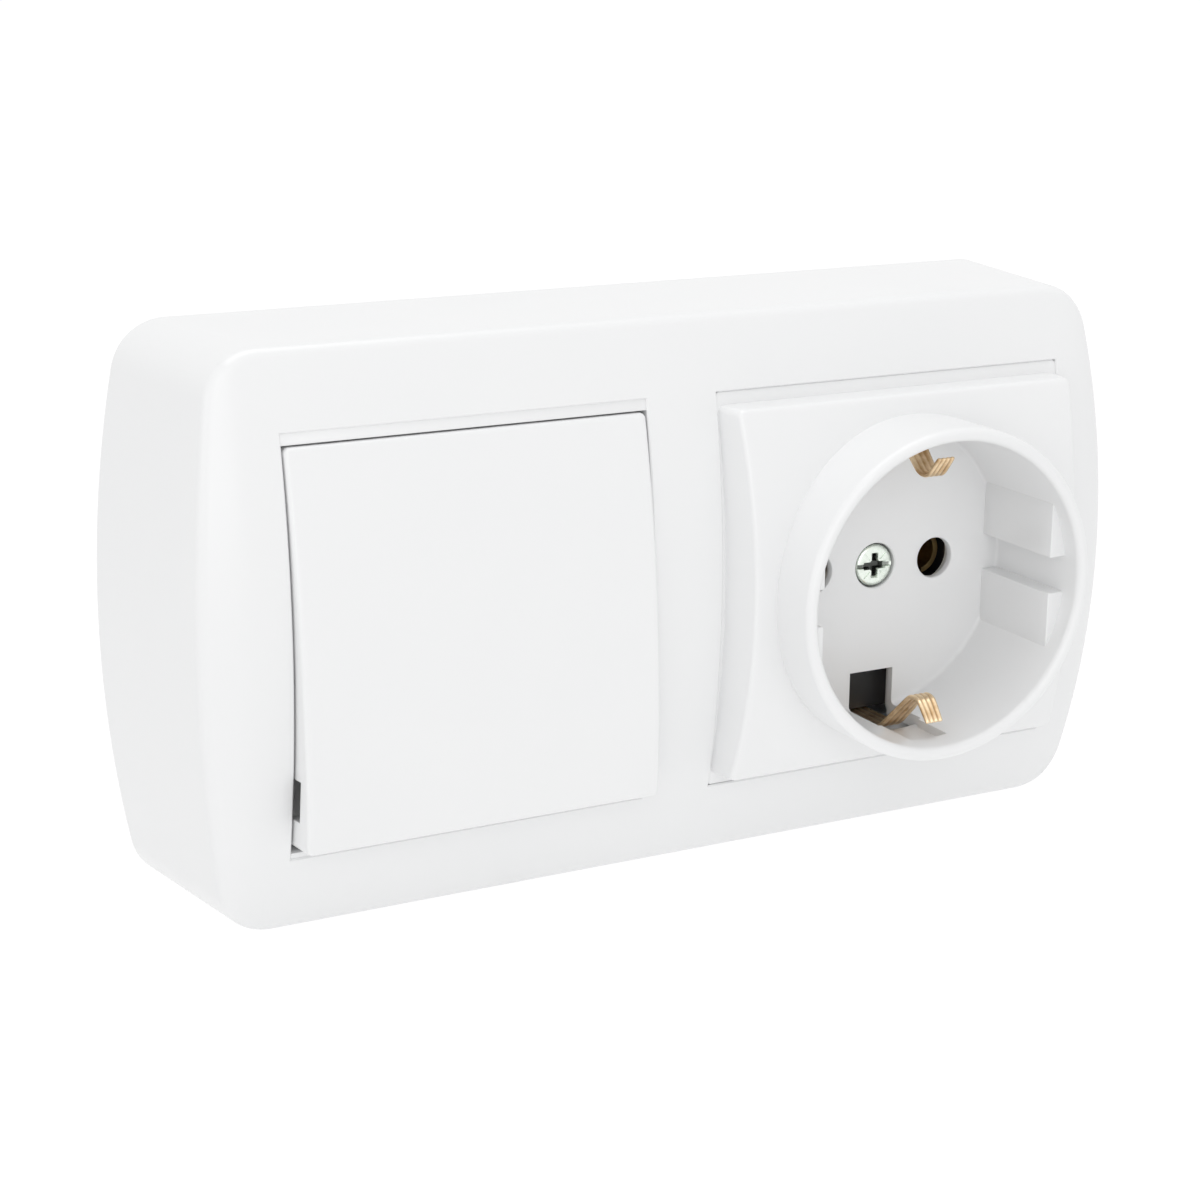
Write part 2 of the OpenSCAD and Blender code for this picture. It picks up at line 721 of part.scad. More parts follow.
// Black insulating body that holds the pin contacts, the terminals and the nut
module socket_body() {
    pocket_x = socket_terminal_x;
    pocket_y = socket_terminal_y;
    room_w = terminal_w + 2 * pocket_gap;
    room_h = terminal_h + 2 * pocket_gap;
    color("black") on_wall() translate([socket_x, 0, 0]) difference() {
        block(0, 0, socket_body_w, socket_body_h, plate_t, socket_body_d);
        for (s = [-1, 1]) {
            block(s * pin_pitch / 2, 0, pocket_w, pocket_w, contact_back_d - seat_gap, socket_body_d + cut);
            block(s * tail_x, socket_terminal_y / 2, tail_w + 2 * pocket_gap, socket_terminal_y,
                  contact_back_d - seat_gap, socket_body_d + cut);
            block(s * pocket_x, pocket_y, room_w, room_h, contact_back_d - seat_gap, socket_body_d + cut);
            terminal_pocket(s * pocket_x, pocket_y, contact_back_d + sheet_t, socket_body_d, socket_body_h / 2);
        }
        terminal_pocket(-pocket_x, -pocket_y, strap_front_d, socket_body_d, -socket_body_h / 2);
        block(0, 0, strap_w + 2 * pocket_gap, socket_body_h + cut, plate_t - cut, strap_front_d + seat_gap);
        block(-pocket_x, -pocket_y, room_w, room_h, plate_t - cut, strap_front_d + cut);
        block(-pocket_x / 2, -pocket_y, pocket_x, room_h, plate_t - cut, strap_front_d + seat_gap);
        block(0, 0, nut_w + 2 * seat_gap, nut_w + 2 * seat_gap, plate_t - cut, nut_d + nut_t + seat_gap);
        round_bar(0, 0, centre_shank_r + shank_gap, plate_t, socket_body_d + cut);
        translate([-socket_x, 0, 0]) fix_wells(socket_x, socket_body_d);
    }
}

// Brass pin contact: a slit spring sleeve, a tail and a terminal block, on the side s of the middle
module pin_contact(s) {
    x = s * pin_pitch / 2;
    slit_back_d = contact_back_d + 4;
    sheet_front_d = contact_back_d + sheet_t;
    color("goldenrod") on_wall() translate([socket_x, 0, 0]) union() {
        difference() {
            round_bar(x, 0, contact_out_r, contact_back_d, contact_front_d);
            round_bar(x, 0, contact_in_r, sheet_front_d, contact_front_d + cut);
            block(x, 0, contact_slit, 2 * contact_out_r + cut, slit_back_d, contact_front_d + cut);
        }
        block(s * tail_x, socket_terminal_y / 2, tail_w, socket_terminal_y, contact_back_d, sheet_front_d);
        terminal_block(s * socket_terminal_x, socket_terminal_y, sheet_front_d - slice);
        block(s * socket_terminal_x, socket_terminal_y, terminal_w, terminal_h, contact_back_d, sheet_front_d);
    }
}

module line_contact() {
    pin_contact(-1);
}

module neutral_contact() {
    pin_contact(1);
}

module socket_terminal_screws() {
    color("silver") on_wall() for (s = [-1, 1])
        terminal_screw(socket_x + s * socket_terminal_x, socket_terminal_y, contact_back_d + sheet_t);
}

// Strip of even thickness along a path drawn as height and depth, with round bends
module strip(path, t) {
    for (i = [0:len(path) - 2]) {
        a = path[i];
        b = path[i + 1];
        step = b - a;
        translate(a) rotate(atan2(step[1], step[0])) translate([0, -t / 2]) square([norm(step), t]);
    }
    for (p = path) translate(p) circle(d = t, $fn = 24);
}

// Points round a bend, from angle a0 to a1 about the given centre
function bend(centre, r, a0, a1) = [for (i = [0:bend_steps])
    let (a = a0 + (a1 - a0) * i / bend_steps) centre + r * [cos(a), sin(a)]];

// Path of one clip, from the corner behind the body, over the fold and the ridge to the tip
function clip_path() = let (
        arm = atan(clip_slope),
        tip = atan2(clip_tip_d - ridge_d, clip_tip_y - clip_ridge),
        centre = [clip_ridge + clip_bend_r, ridge_d]
    ) concat(
        [[clip_back_y, plate_t + strap_t / 2], [clip_back_y, clip_fold_d]],
        bend(centre, clip_bend_r, 180 + 90 - arm, 90 + tip),
        [[clip_tip_y, clip_tip_d]]
    );

// Earth strap: one bent strip with a ribbed spring clip at each end, and its terminal block
module earth_strap() {
    path = clip_path();
    rib_w = clip_w / rib_count * rib_share;
    side_reach = socket_terminal_x + terminal_w / 2;
    color("darkgoldenrod") on_wall() translate([socket_x, 0, 0]) {
        block(0, 0, strap_w, 2 * clip_back_y, plate_t, strap_front_d);
        difference() {
            block(-side_reach / 2, -socket_terminal_y, side_reach, terminal_h, plate_t, strap_front_d);
            round_bar(-socket_terminal_x, -socket_terminal_y, terminal_r + run_gap,
                      plate_t - cut, strap_front_d + cut);
        }
        terminal_block(-socket_terminal_x, -socket_terminal_y, strap_front_d - slice);
        for (s = [0, 1]) mirror([0, s, 0]) {
            along_x(strap_w) strip([path[0], path[1]], strap_t);
            along_x(clip_w) strip([for (i = [1:len(path) - 1]) path[i]], strap_t * 0.7);
            for (i = [0:rib_count - 1])
                translate([(i - (rib_count - 1) / 2) * clip_w / rib_count, 0, 0])
                    along_x(rib_w) strip([for (k = [1:len(path) - 1]) path[k]], strap_t);
        }
    }
}

module earth_screw() {
    color("silver") on_wall() terminal_screw(socket_x - socket_terminal_x, -socket_terminal_y, strap_front_d);
}

module centre_nut() {
    color("silver") on_wall() difference() {
        block(socket_x, 0, nut_w, nut_w, nut_d, nut_d + nut_t);
        round_bar(socket_x, 0, centre_shank_r + run_gap, nut_d - cut, nut_d + nut_t + cut);
    }
}

// Centre screw: domed head with a cross recess, a slot and four short marks between its wings
module centre_screw() {
    edge_r = 0.5;
    top_d = screw_bed_d + centre_head_h;
    cross_w = 0.85;
    cross_t = 1;
    slot_t = 0.45;
    wing_w = centre_head_r * 1.25;
    mark_w = 0.14;
    mark_t = 0.08;
    mark_x = centre_head_r * 0.62;
    mark_l = centre_head_r * 0.5;
    color("silver") on_wall() translate([socket_x, 0, 0]) difference() {
        union() {
            round_bar(0, 0, centre_shank_r, nut_d, screw_bed_d + slice);
            translate([0, 0, screw_bed_d]) rotate_extrude() {
                square([centre_head_r, centre_head_h - edge_r]);
                square([centre_head_r - edge_r, centre_head_h]);
                translate([centre_head_r - edge_r, centre_head_h - edge_r]) circle(r = edge_r);
            }
        }
        for (a = [0, 90]) rotate(a) block(0, 0, wing_w, cross_w, top_d - cross_t, top_d + cut);
        block(0, 0, 2 * centre_head_r + cut, cross_w * 0.8, top_d - slot_t, top_d + cut);
        for (a = [45:90:315]) rotate(a) block(mark_x, 0, mark_l, mark_w, top_d - mark_t, top_d + cut);
    }
}

// Side outline of the raised block: upright at the window, then leaning in to its front edge
module block_profile(half_w, lean, back, lean_d, front) {
    polygon([[-half_w, back], [half_w, back], [half_w, lean_d], [half_w - lean, front],
             [lean - half_w, front], [-half_w, lean_d]]);
}

module raised_block(inset) {
    half_w = cover_w / 2 - inset;
    intersection() {
        along_y(block_h - 2 * inset)
            block_profile(half_w, block_lean, ledge_d - (inset > 0 ? cut : 0), lean_start_d, block_d);
        behind_face(block_face_r - inset, block_axis_d, 2 * body_w);
    }
}

// Guide pads: the recess wall thickened to two flat chords on each side, with a groove between
module guide_pads() {
    intersection() {
        union() for (sx = [-1, 1], sy = [-1, 1])
            block(sx * (pad_x + recess_r) / 2, sy * (pad_groove / 2 + recess_r) / 2,
                  recess_r - pad_x, recess_r - pad_groove / 2, floor_d, rim_d - pad_drop);
        round_bar(0, 0, recess_r + collar_t / 2, floor_d - cut, rim_d);
    }
}

// Openings above and below in the recess's floor and wall, where the earth clips come through
module earth_gaps() {
    gap_out_y = clip_back_y + strap_t;
    for (s = [-1, 1])
        block(0, s * (earth_gap_y + gap_out_y) / 2, earth_gap_w, gap_out_y - earth_gap_y,
              floor_back_d - cut, earth_gap_d);
}

// Floor of the plug recess, with the pin holes and the bed of the centre screw
module recess_floor() {
    bed_r = centre_head_r + 0.35;
    color("white") on_wall() translate([socket_x, 0, 0]) difference() {
        round_bar(0, 0, collar_r, floor_back_d, floor_d);
        earth_gaps();
        for (s = [-1, 1]) round_bar(s * pin_pitch / 2, 0, pin_hole_r, floor_back_d - cut, floor_d + cut);
        round_bar(0, 0, bed_r, screw_bed_d, floor_d + cut);
        round_bar(0, 0, centre_shank_r + shank_gap, floor_back_d - cut, screw_bed_d + cut);
    }
}

// Cover in the socket window: a plate with a raised block, and the collar round the plug recess
module socket_cover() {
    lip_r = collar_t / 2;
    strip_in = (cover_h - block_h) / 2 + cover_t;
    wall_slot_front_d = rim_d - 4;
    color("white") on_wall() translate([socket_x, 0, 0]) difference() {
        union() {
            difference() {
                union() {
                    block(0, 0, cover_w, cover_h, ledge_d, ledge_d + flange_t);
                    intersection() {
                        union() for (s = [-1, 1])
                            block(0, s * (cover_h - strip_in) / 2, cover_w, strip_in, ledge_d, face_d);
                        behind_face(strip_axis_r, face_axis_d, body_w);
                    }
                    raised_block(0);
                }
                raised_block(cover_t);
            }
            round_bar(0, 0, collar_r, floor_d, rim_d - lip_r);
            translate([0, 0, rim_d - lip_r]) rotate_extrude() translate([recess_r + lip_r, 0]) circle(r = lip_r);
        }
        difference() {
            round_bar(0, 0, recess_r, floor_d - cut, rim_d + cut);
            guide_pads();
        }
        earth_gaps();
        for (s = [-1, 1])
            block(0, s * recess_r, earth_gap_w - 1, collar_t, earth_gap_d - cut, wall_slot_front_d);
    }
}

base_plate();
cable_grommet();
housing();
switch_frame();
switch_body();
common_terminal();
load_terminal();
fixed_tip();
switch_terminal_screws();
contact_lever();
moving_tip();
rocker_carrier();
plunger();
plunger_spring();
rocker();
socket_body();
line_contact();
neutral_contact();
socket_terminal_screws();
earth_strap();
earth_screw();
centre_nut();
centre_screw();
recess_floor();
socket_cover();
insert_screws();
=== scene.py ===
"""Looks of the surface-mounted switch and socket combination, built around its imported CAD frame.

Every length here is in millimetres of the shared frame, and MM turns it into metres: X runs right, Z runs up,
and a depth is measured out from the wall plane, towards the viewer, so it is the negative of Y.
"""

import json
import logging
import math
from dataclasses import dataclass
from enum import Enum
from typing import Callable, Optional, Sequence, Union

import bpy
from mathutils import Matrix, Vector

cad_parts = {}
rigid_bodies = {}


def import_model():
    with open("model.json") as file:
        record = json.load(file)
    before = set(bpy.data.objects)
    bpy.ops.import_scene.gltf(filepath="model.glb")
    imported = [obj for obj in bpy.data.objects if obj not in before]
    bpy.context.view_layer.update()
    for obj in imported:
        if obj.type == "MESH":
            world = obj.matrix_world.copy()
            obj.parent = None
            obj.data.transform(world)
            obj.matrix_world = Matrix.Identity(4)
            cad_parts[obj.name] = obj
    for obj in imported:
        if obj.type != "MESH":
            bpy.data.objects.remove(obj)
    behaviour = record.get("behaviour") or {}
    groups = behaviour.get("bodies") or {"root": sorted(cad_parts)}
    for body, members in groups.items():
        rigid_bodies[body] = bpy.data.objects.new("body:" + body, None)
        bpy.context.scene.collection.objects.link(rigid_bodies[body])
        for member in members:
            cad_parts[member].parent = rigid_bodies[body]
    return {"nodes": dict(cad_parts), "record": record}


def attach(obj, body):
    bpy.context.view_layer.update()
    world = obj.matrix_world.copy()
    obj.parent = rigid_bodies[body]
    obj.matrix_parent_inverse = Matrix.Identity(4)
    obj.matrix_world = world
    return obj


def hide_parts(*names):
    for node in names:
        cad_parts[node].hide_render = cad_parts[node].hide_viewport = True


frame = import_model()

LOG = logging.getLogger("switch_and_socket")
MM = 0.001
SWITCH_X = -30.0
SOCKET_X = 30.0
FACE_AXIS = -101.57
GROOVE = "groove"
Number = Union[float, "Signal"]


class Pick(Enum):
    """What an edit selects, by its place among the select modes."""

    EDGES = 1
    FACES = 2


class Bench:
    """Edit-mode moves on one piece at a time. Sizes come in millimetres."""

    @staticmethod
    def clear() -> None:
        """Leaves edit mode and deselects everything."""
        if bpy.context.object is not None and bpy.context.object.mode != "OBJECT":
            bpy.ops.object.mode_set(mode="OBJECT")
        bpy.ops.object.select_all(action="DESELECT")

    @staticmethod
    def take(piece: bpy.types.Object) -> None:
        """Makes the piece the only selected and active one."""
        Bench.clear()
        piece.select_set(True)
        bpy.context.view_layer.objects.active = piece

    @staticmethod
    def named(name: str) -> bpy.types.Object:
        """Names the primitive that was just added, and bakes its place into its mesh."""
        piece = bpy.context.object
        piece.name = name
        piece.data.name = name
        bpy.ops.object.transform_apply(location=True, rotation=True, scale=True)
        return piece

    @staticmethod
    def sheet(name: str, columns: int, rows: int, place: Callable[[int, int], Vector]) -> bpy.types.Object:
        """A grid of quads whose crossings are put in place one by one.

        Args:
            name: Name of the piece.
            columns: Number of upright lines.
            rows: Number of level lines.
            place: Gives the point, in millimetres, where a column and a row cross.

        Returns:
            The sheet, which faces the viewer.
        """
        Bench.clear()
        bpy.ops.mesh.primitive_grid_add(x_subdivisions=columns - 1, y_subdivisions=rows - 1, size=2)
        piece = Bench.named(name)
        for corner in piece.data.vertices:
            column = round((corner.co.x + 1) / 2 * (columns - 1))
            row = round((corner.co.y + 1) / 2 * (rows - 1))
            corner.co = place(column, row) * MM
        piece.data.update()
        return piece

    @staticmethod
    def box(name: str, low: Sequence[float], high: Sequence[float], turn: float = 0.0) -> bpy.types.Object:
        """A block between two corners given as x, depth, z.

        Args:
            name: Name of the piece.
            low: Lowest x, depth and z.
            high: Highest x, depth and z.
            turn: Turn about the depth, in degrees, round the block's own middle.

        Returns:
            The block.
        """
        Bench.clear()
        middle = [(a + b) / 2 * MM for a, b in zip(low, high)]
        size = [(b - a) * MM for a, b in zip(low, high)]
        bpy.ops.mesh.primitive_cube_add(
            size=1, location=(middle[0], -middle[1], middle[2]), rotation=(0, math.radians(turn), 0), scale=size
        )
        return Bench.named(name)

    @staticmethod
    def turned(
        name: str, x: float, z: float, profile: Sequence[tuple[float, float]], sides: int = 96
    ) -> bpy.types.Object:
        """A round piece about a line along the depth: a ring is extruded and resized along the profile.

        Args:
            name: Name of the piece.
            x: Place of the line.
            z: Place of the line.
            profile: Radius and depth of each ring, from the first end to the last.
            sides: Number of sides of each ring.

        Returns:
            The closed piece, its faces turned out.
        """
        Bench.clear()
        radius, depth = profile[0]
        bpy.ops.mesh.primitive_circle_add(
            vertices=sides, radius=radius * MM, fill_type="NGON", location=(x * MM, -depth * MM, z * MM),
            rotation=(math.pi / 2, 0, 0),
        )
        piece = Bench.named(name)
        Bench.whole(piece)
        for next_radius, next_depth in profile[1:]:
            bpy.ops.mesh.extrude_region_move(
                TRANSFORM_OT_translate={"value": (0, (depth - next_depth) * MM, 0)}
            )
            factor = next_radius / radius
            bpy.ops.transform.resize(
                value=(factor, 1, factor), center_override=(x * MM, -next_depth * MM, z * MM)
            )
            radius, depth = next_radius, next_depth
        bpy.ops.mesh.select_all(action="SELECT")
        bpy.ops.mesh.normals_make_consistent(inside=False)
        Bench.done()
        return piece

    @staticmethod
    def copied(name: str, node: bpy.types.Object) -> bpy.types.Object:
        """A copy of a CAD node with a mesh of its own, its loose triangles merged."""
        piece = node.copy()
        piece.data = node.data.copy()
        piece.name = name
        piece.data.name = name
        for key in [key for key in piece.keys() if key.startswith("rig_")]:
            del piece[key]
        bpy.context.scene.collection.objects.link(piece)
        Bench.take(piece)
        bpy.ops.object.parent_clear(type="CLEAR_KEEP_TRANSFORM")
        bpy.ops.object.transform_apply(location=True, rotation=True, scale=True)
        Bench.whole(piece)
        bpy.ops.mesh.remove_doubles(threshold=0.001 * MM)
        bpy.ops.mesh.dissolve_limited(angle_limit=math.radians(0.5))
        Bench.done()
        return piece

    @staticmethod
    def whole(piece: bpy.types.Object) -> None:
        """Enters edit mode with all of the piece selected."""
        Bench.take(piece)
        bpy.context.tool_settings.mesh_select_mode = (True, False, False)
        bpy.ops.object.mode_set(mode="EDIT")
        bpy.ops.mesh.select_all(action="SELECT")

    @staticmethod
    def select(piece: bpy.types.Object, pick: Pick, test: Callable[[Vector], bool]) -> None:
        """Enters edit mode with the parts selected whose middle, in millimetres, passes the test."""
        Bench.take(piece)
        mesh = piece.data
        parts = (mesh.vertices, mesh.edges, mesh.polygons)
        for group in parts:
            group.foreach_set("select", [False] * len(group))
        for part in parts[pick.value]:
            if pick is Pick.EDGES:
                middle = (mesh.vertices[part.vertices[0]].co + mesh.vertices[part.vertices[1]].co) / 2
            else:
                middle = part.center
            part.select = test(middle / MM)
        bpy.context.tool_settings.mesh_select_mode = [pick.value == kind for kind in range(len(parts))]
        bpy.ops.object.mode_set(mode="EDIT")

    @staticmethod
    def done() -> None:
        """Leaves edit mode."""
        bpy.ops.object.mode_set(mode="OBJECT")

    @staticmethod
    def shape(piece: bpy.types.Object, move: Callable[[Vector], Vector]) -> None:
        """Moves each corner of the piece to where the rule puts it, in millimetres."""
        for corner in piece.data.vertices:
            corner.co = move(corner.co / MM) * MM
        piece.data.update()

    @staticmethod
    def modifier(piece: bpy.types.Object, kind: str, **settings: object) -> None:
        """Adds a modifier with its settings and applies it."""
        Bench.take(piece)
        added = piece.modifiers.new(kind.title(), kind)
        for key, value in settings.items():
            setattr(added, key, value)
        bpy.ops.object.modifier_apply(modifier=added.name)

    @staticmethod
    def carve(piece: bpy.types.Object, tool: bpy.types.Object) -> None:
        """Cuts a tool shape, which is then thrown away, out of the piece."""
        Bench.modifier(piece, "BOOLEAN", operation="DIFFERENCE", object=tool, solver="EXACT")
        bpy.data.objects.remove(tool, do_unlink=True)

    @staticmethod
    def soften(piece: bpy.types.Object, width: float, steps: int = 2, angle: float = 40) -> None:
        """Rounds every edge that is sharper than the angle."""
        Bench.modifier(
            piece, "BEVEL", width=width * MM, segments=steps, limit_method="ANGLE",
            angle_limit=math.radians(angle), harden_normals=False,
        )

    @staticmethod
    def smooth(piece: bpy.types.Object, angle: float = 35) -> None:
        """Shades the piece smooth, up to an angle between its faces."""
        Bench.take(piece)
        bpy.ops.object.shade_smooth_by_angle(angle=math.radians(angle))

    @staticmethod
    def tidy(piece: bpy.types.Object) -> None:
        """Merges doubled corners and turns the faces outwards."""
        Bench.whole(piece)
        bpy.ops.mesh.remove_doubles(threshold=0.002 * MM)
        bpy.ops.mesh.normals_make_consistent(inside=False)
        Bench.done()

    @staticmethod
    def joined(name: str, parts: Sequence[bpy.types.Object]) -> bpy.types.Object:
        """Joins parts into one piece under a name."""
        Bench.take(parts[0])
        for part in parts[1:]:
            part.select_set(True)
        bpy.ops.object.join()
        parts[0].name = name
        return parts[0]


class Signal:
    """A socket in a shader. Arithmetic on it adds Math nodes."""

    def __init__(self, tree: bpy.types.NodeTree, socket: bpy.types.NodeSocket) -> None:
        """Wraps an output socket of the tree."""
        self.tree = tree
        self.socket = socket

    def _math(self, operation: str, first: Number, second: Number) -> "Signal":
        """Adds a Math node on two values or sockets."""
        node = self.tree.nodes.new("ShaderNodeMath")
        node.operation = operation
        for slot, value in zip(node.inputs, (first, second)):
            if isinstance(value, Signal):
                self.tree.links.new(value.socket, slot)
            else:
                slot.default_value = value
        return Signal(self.tree, node.outputs[0])

    def __add__(self, other: Number) -> "Signal":
        """Sum."""
        return self._math("ADD", self, other)

    def __mul__(self, other: Number) -> "Signal":
        """Product."""
        return self._math("MULTIPLY", self, other)

    def __sub__(self, other: Number) -> "Signal":
        """Difference."""
        return self._math("SUBTRACT", self, other)

    def __rsub__(self, other: Number) -> "Signal":
        """Difference from a plain number."""
        return self._math("SUBTRACT", other, self)

    def least(self, other: Number) -> "Signal":
        """The lower of the two."""
        return self._math("MINIMUM", self, other)

    def most(self, other: Number) -> "Signal":
        """The higher of the two."""
        return self._math("MAXIMUM", self, other)


class Paint:
    """A material under way."""

    def __init__(self, name: str) -> None:
        """Starts a material with a Principled shader on its output."""
        self.material = bpy.data.materials.new(name)
        self.material.use_nodes = True
        self.tree = self.material.node_tree
        self.shader = self.tree.nodes["Principled BSDF"]

    def node(
        self, kind: str, settings: Optional[dict] = None, out: Union[int, str] = 0, **inputs: object
    ) -> Signal:
        """Adds a node.

        Args:
            kind: The node's type, without the common prefix.
            settings: Its own settings, set before its sockets.
            out: Which output is wanted.
            inputs: Values or signals for its sockets, with _ for a space in a socket's name.

        Returns:
            The output asked for.
        """
        added = self.tree.nodes.new("ShaderNode" + kind)
        for key, value in (settings or {}).items():
            setattr(added, key, value)
        for key, value in inputs.items():
            self.feed(added, key.replace("_", " "), value)
        return Signal(self.tree, added.outputs[out])

    def feed(self, node: bpy.types.Node, socket: str, value: object) -> None:
        """Gives a value or a signal to a node's socket."""
        slot = next(s for s in node.inputs if s.name == socket and s.enabled)
        if isinstance(value, Signal):
            self.tree.links.new(value.socket, slot)
        else:
            slot.default_value = value

    def put(self, **inputs: object) -> bpy.types.Material:
        """Sets the shader's own sockets and returns the material."""
        for key, value in inputs.items():
            self.feed(self.shader, key.replace("_", " "), value)
        return self.material

    def place(self) -> Signal:
        """Object coordinates."""
        return self.node("TexCoord", out="Object")

    def noise(self, size: float, detail: float = 2.0, stretch: Sequence[float] = (1, 1, 1)) -> Signal:
        """Noise with features of about the given size in millimetres, drawn out along an axis by the stretch."""
        spread = self.node("Mapping", Vector=self.place(), Scale=[1 / s for s in stretch])
        return self.node("TexNoise", Vector=spread, Scale=1 / (size * MM), Detail=detail, Roughness=0.55)

    def blend(self, share: Signal, first: Union[Sequence[float], Signal], second: Sequence[float]) -> Signal:
        """A colour between two others, of which the first may itself be a signal."""
        node = self.tree.nodes.new("ShaderNodeMix")
        node.data_type = "RGBA"
        self.feed(node, "Factor", share)
        self.feed(node, "A", first if isinstance(first, Signal) else (*first, 1))
        self.feed(node, "B", (*second, 1))
        return Signal(self.tree, next(s for s in node.outputs if s.type == "RGBA"))

    def bump(self, height: Signal, depth: float, strength: float = 1.0) -> Signal:
        """A normal from a height, with the relief's depth in millimetres."""
        return self.node("Bump", Height=height, Distance=depth * MM, Strength=strength)


@dataclass(frozen=True)
class Moulding:
    """Moulded plastic: a faint cloudiness of the gloss, and the soft waviness of a moulded skin."""

    name: str
    colour: tuple[float, float, float]
    shade: tuple[float, float, float]
    roughness: float
    grain: float
    grain_depth: float
    coat: float = 0.0

    def make(self) -> bpy.types.Material:
        """Builds the material."""
        paint = Paint(self.name)
        cloud = paint.noise(22.0)
        skin = paint.noise(self.grain, 3.0)
        wave = paint.noise(14.0, 1.0)
        relief = skin * self.grain_depth + wave * 0.006
        return paint.put(
            Base_Color=paint.blend(cloud, self.colour, self.shade),
            Roughness=cloud * 0.05 + skin * 0.05 + (self.roughness - 0.05),
            Normal=paint.bump(relief, 1.0),
            IOR=1.5,
            Coat_Weight=self.coat,
            Coat_Roughness=0.12,
        )


@dataclass(frozen=True)
class DrawnMetal:
    """Metal sheet or wire: fine lines along the drawing, patches where handling dulled it, painted shade in the
    grooves between ribs, and, where asked, painted shade below a depth.
    """

    name: str
    bright: tuple[float, float, float]
    dull: tuple[float, float, float]
    roughness: float
    lines: tuple[float, float, float] = (1, 1, 8)
    # Depth below which the colour fades to near black as painted shade; zero for none.
    painted_shade_below: float = 0.0

    def make(self) -> bpy.types.Material:
        """Builds the material."""
        paint = Paint(self.name)
        patch = paint.noise(2.6, 4.0)
        line = paint.noise(0.16, 2.0, self.lines)
        # Real wear patches from noise, plus painted shade in the grooves between the ribs.
        wear_and_groove_shade = (patch - 0.45) * 2.4 + self._groove(paint) * 0.6
        share = wear_and_groove_shade.most(0.0).least(1.0)
        colour = paint.blend(share, self.bright, self.dull)
        # Painted shade: below the given depth the colour fades to near black, for the shade down in the screw's cross
        # recess and round the foot of its head.
        if self.painted_shade_below:
            depth = paint.node("SeparateXYZ", out="Y", Vector=paint.place()) * (-1 / MM)
            deep = ((self.painted_shade_below - depth) * 4.0).most(0.0).least(0.92)
            colour = paint.blend(deep, colour, (0.02, 0.02, 0.02))
        return paint.put(
            Base_Color=colour,
            Metallic=1.0,
            Roughness=share * 0.16 + line * 0.12 + self.roughness,
            Normal=paint.bump(line, 0.012),
        )

    @staticmethod
    def _groove(paint: Paint) -> Signal:
        """How deep in a groove between two ribs the surface lies, which the finish darkens as painted shade."""
        return paint.node("Attribute", {"attribute_name": GROOVE}, out="Fac")


@dataclass(frozen=True)
class Rubber:
    """Soft dark rubber with a dusty bloom."""

    name: str
    colour: tuple[float, float, float]

    def make(self) -> bpy.types.Material:
        """Builds the material."""
        paint = Paint(self.name)
        bloom = paint.noise(3.0, 3.0)
        dusty = tuple(c + 0.05 for c in self.colour)
        return paint.put(
            Base_Color=paint.blend(bloom, self.colour, dusty),
            Roughness=bloom * 0.2 + 0.6,
            Normal=paint.bump(paint.noise(0.5, 2.0), 0.03),
        )


class Finishes:
    """The object's finishes, one for each material slot of the record."""

    RECIPES = (
        Moulding("white_gloss", (0.845, 0.848, 0.85), (0.825, 0.83, 0.835), 0.30, 0.9, 0.004, 0.12),
        Moulding("inner_white", (0.80, 0.80, 0.78), (0.77, 0.77, 0.75), 0.5, 0.6, 0.01),
        Moulding("grey_body", (0.045, 0.047, 0.05), (0.06, 0.062, 0.065), 0.5, 0.5, 0.012),
        Moulding("black_body", (0.012, 0.012, 0.013), (0.02, 0.02, 0.021), 0.45, 0.5, 0.012),
        # Brass darkened well below its own colour: painted shade for the contacts deep inside the pin holes.
        DrawnMetal("contact_brass", (0.48, 0.34, 0.15), (0.16, 0.11, 0.05), 0.3, (1, 1, 8)),
        # Its dull colour also paints the shade in the grooves between the clips' ribs.
        DrawnMetal("earth_bronze", (0.98, 0.79, 0.54), (0.50, 0.31, 0.15), 0.22, (1, 6, 6)),
        DrawnMetal("silver_tip", (0.88, 0.88, 0.86), (0.66, 0.66, 0.64), 0.2),
        DrawnMetal("zinc_steel", (0.80, 0.84, 0.79), (0.58, 0.63, 0.57), 0.24, (1, 1, 1)),
        # Zinc with painted shade below its depth, for the centre screw's recess and the foot of its head.
        DrawnMetal("zinc_recess_shaded", (0.84, 0.90, 0.83), (0.58, 0.66, 0.57), 0.2, (1, 1, 1), 23.2),
        DrawnMetal("spring_steel", (0.62, 0.63, 0.64), (0.42, 0.43, 0.44), 0.28),
        Rubber("grommet_rubber", (0.03, 0.03, 0.03)),
    )

    def __init__(self) -> None:
        """Builds every finish once."""
        self.ready = {recipe.name: recipe.make() for recipe in self.RECIPES}

    def dress(self, piece: bpy.types.Object, slot: str) -> None:
        """Gives a piece the finish of a slot, on all its faces."""
        piece.data.materials.clear()
        piece.data.materials.append(self.ready[slot])
        for face in piece.data.polygons:
            face.material_index = 0


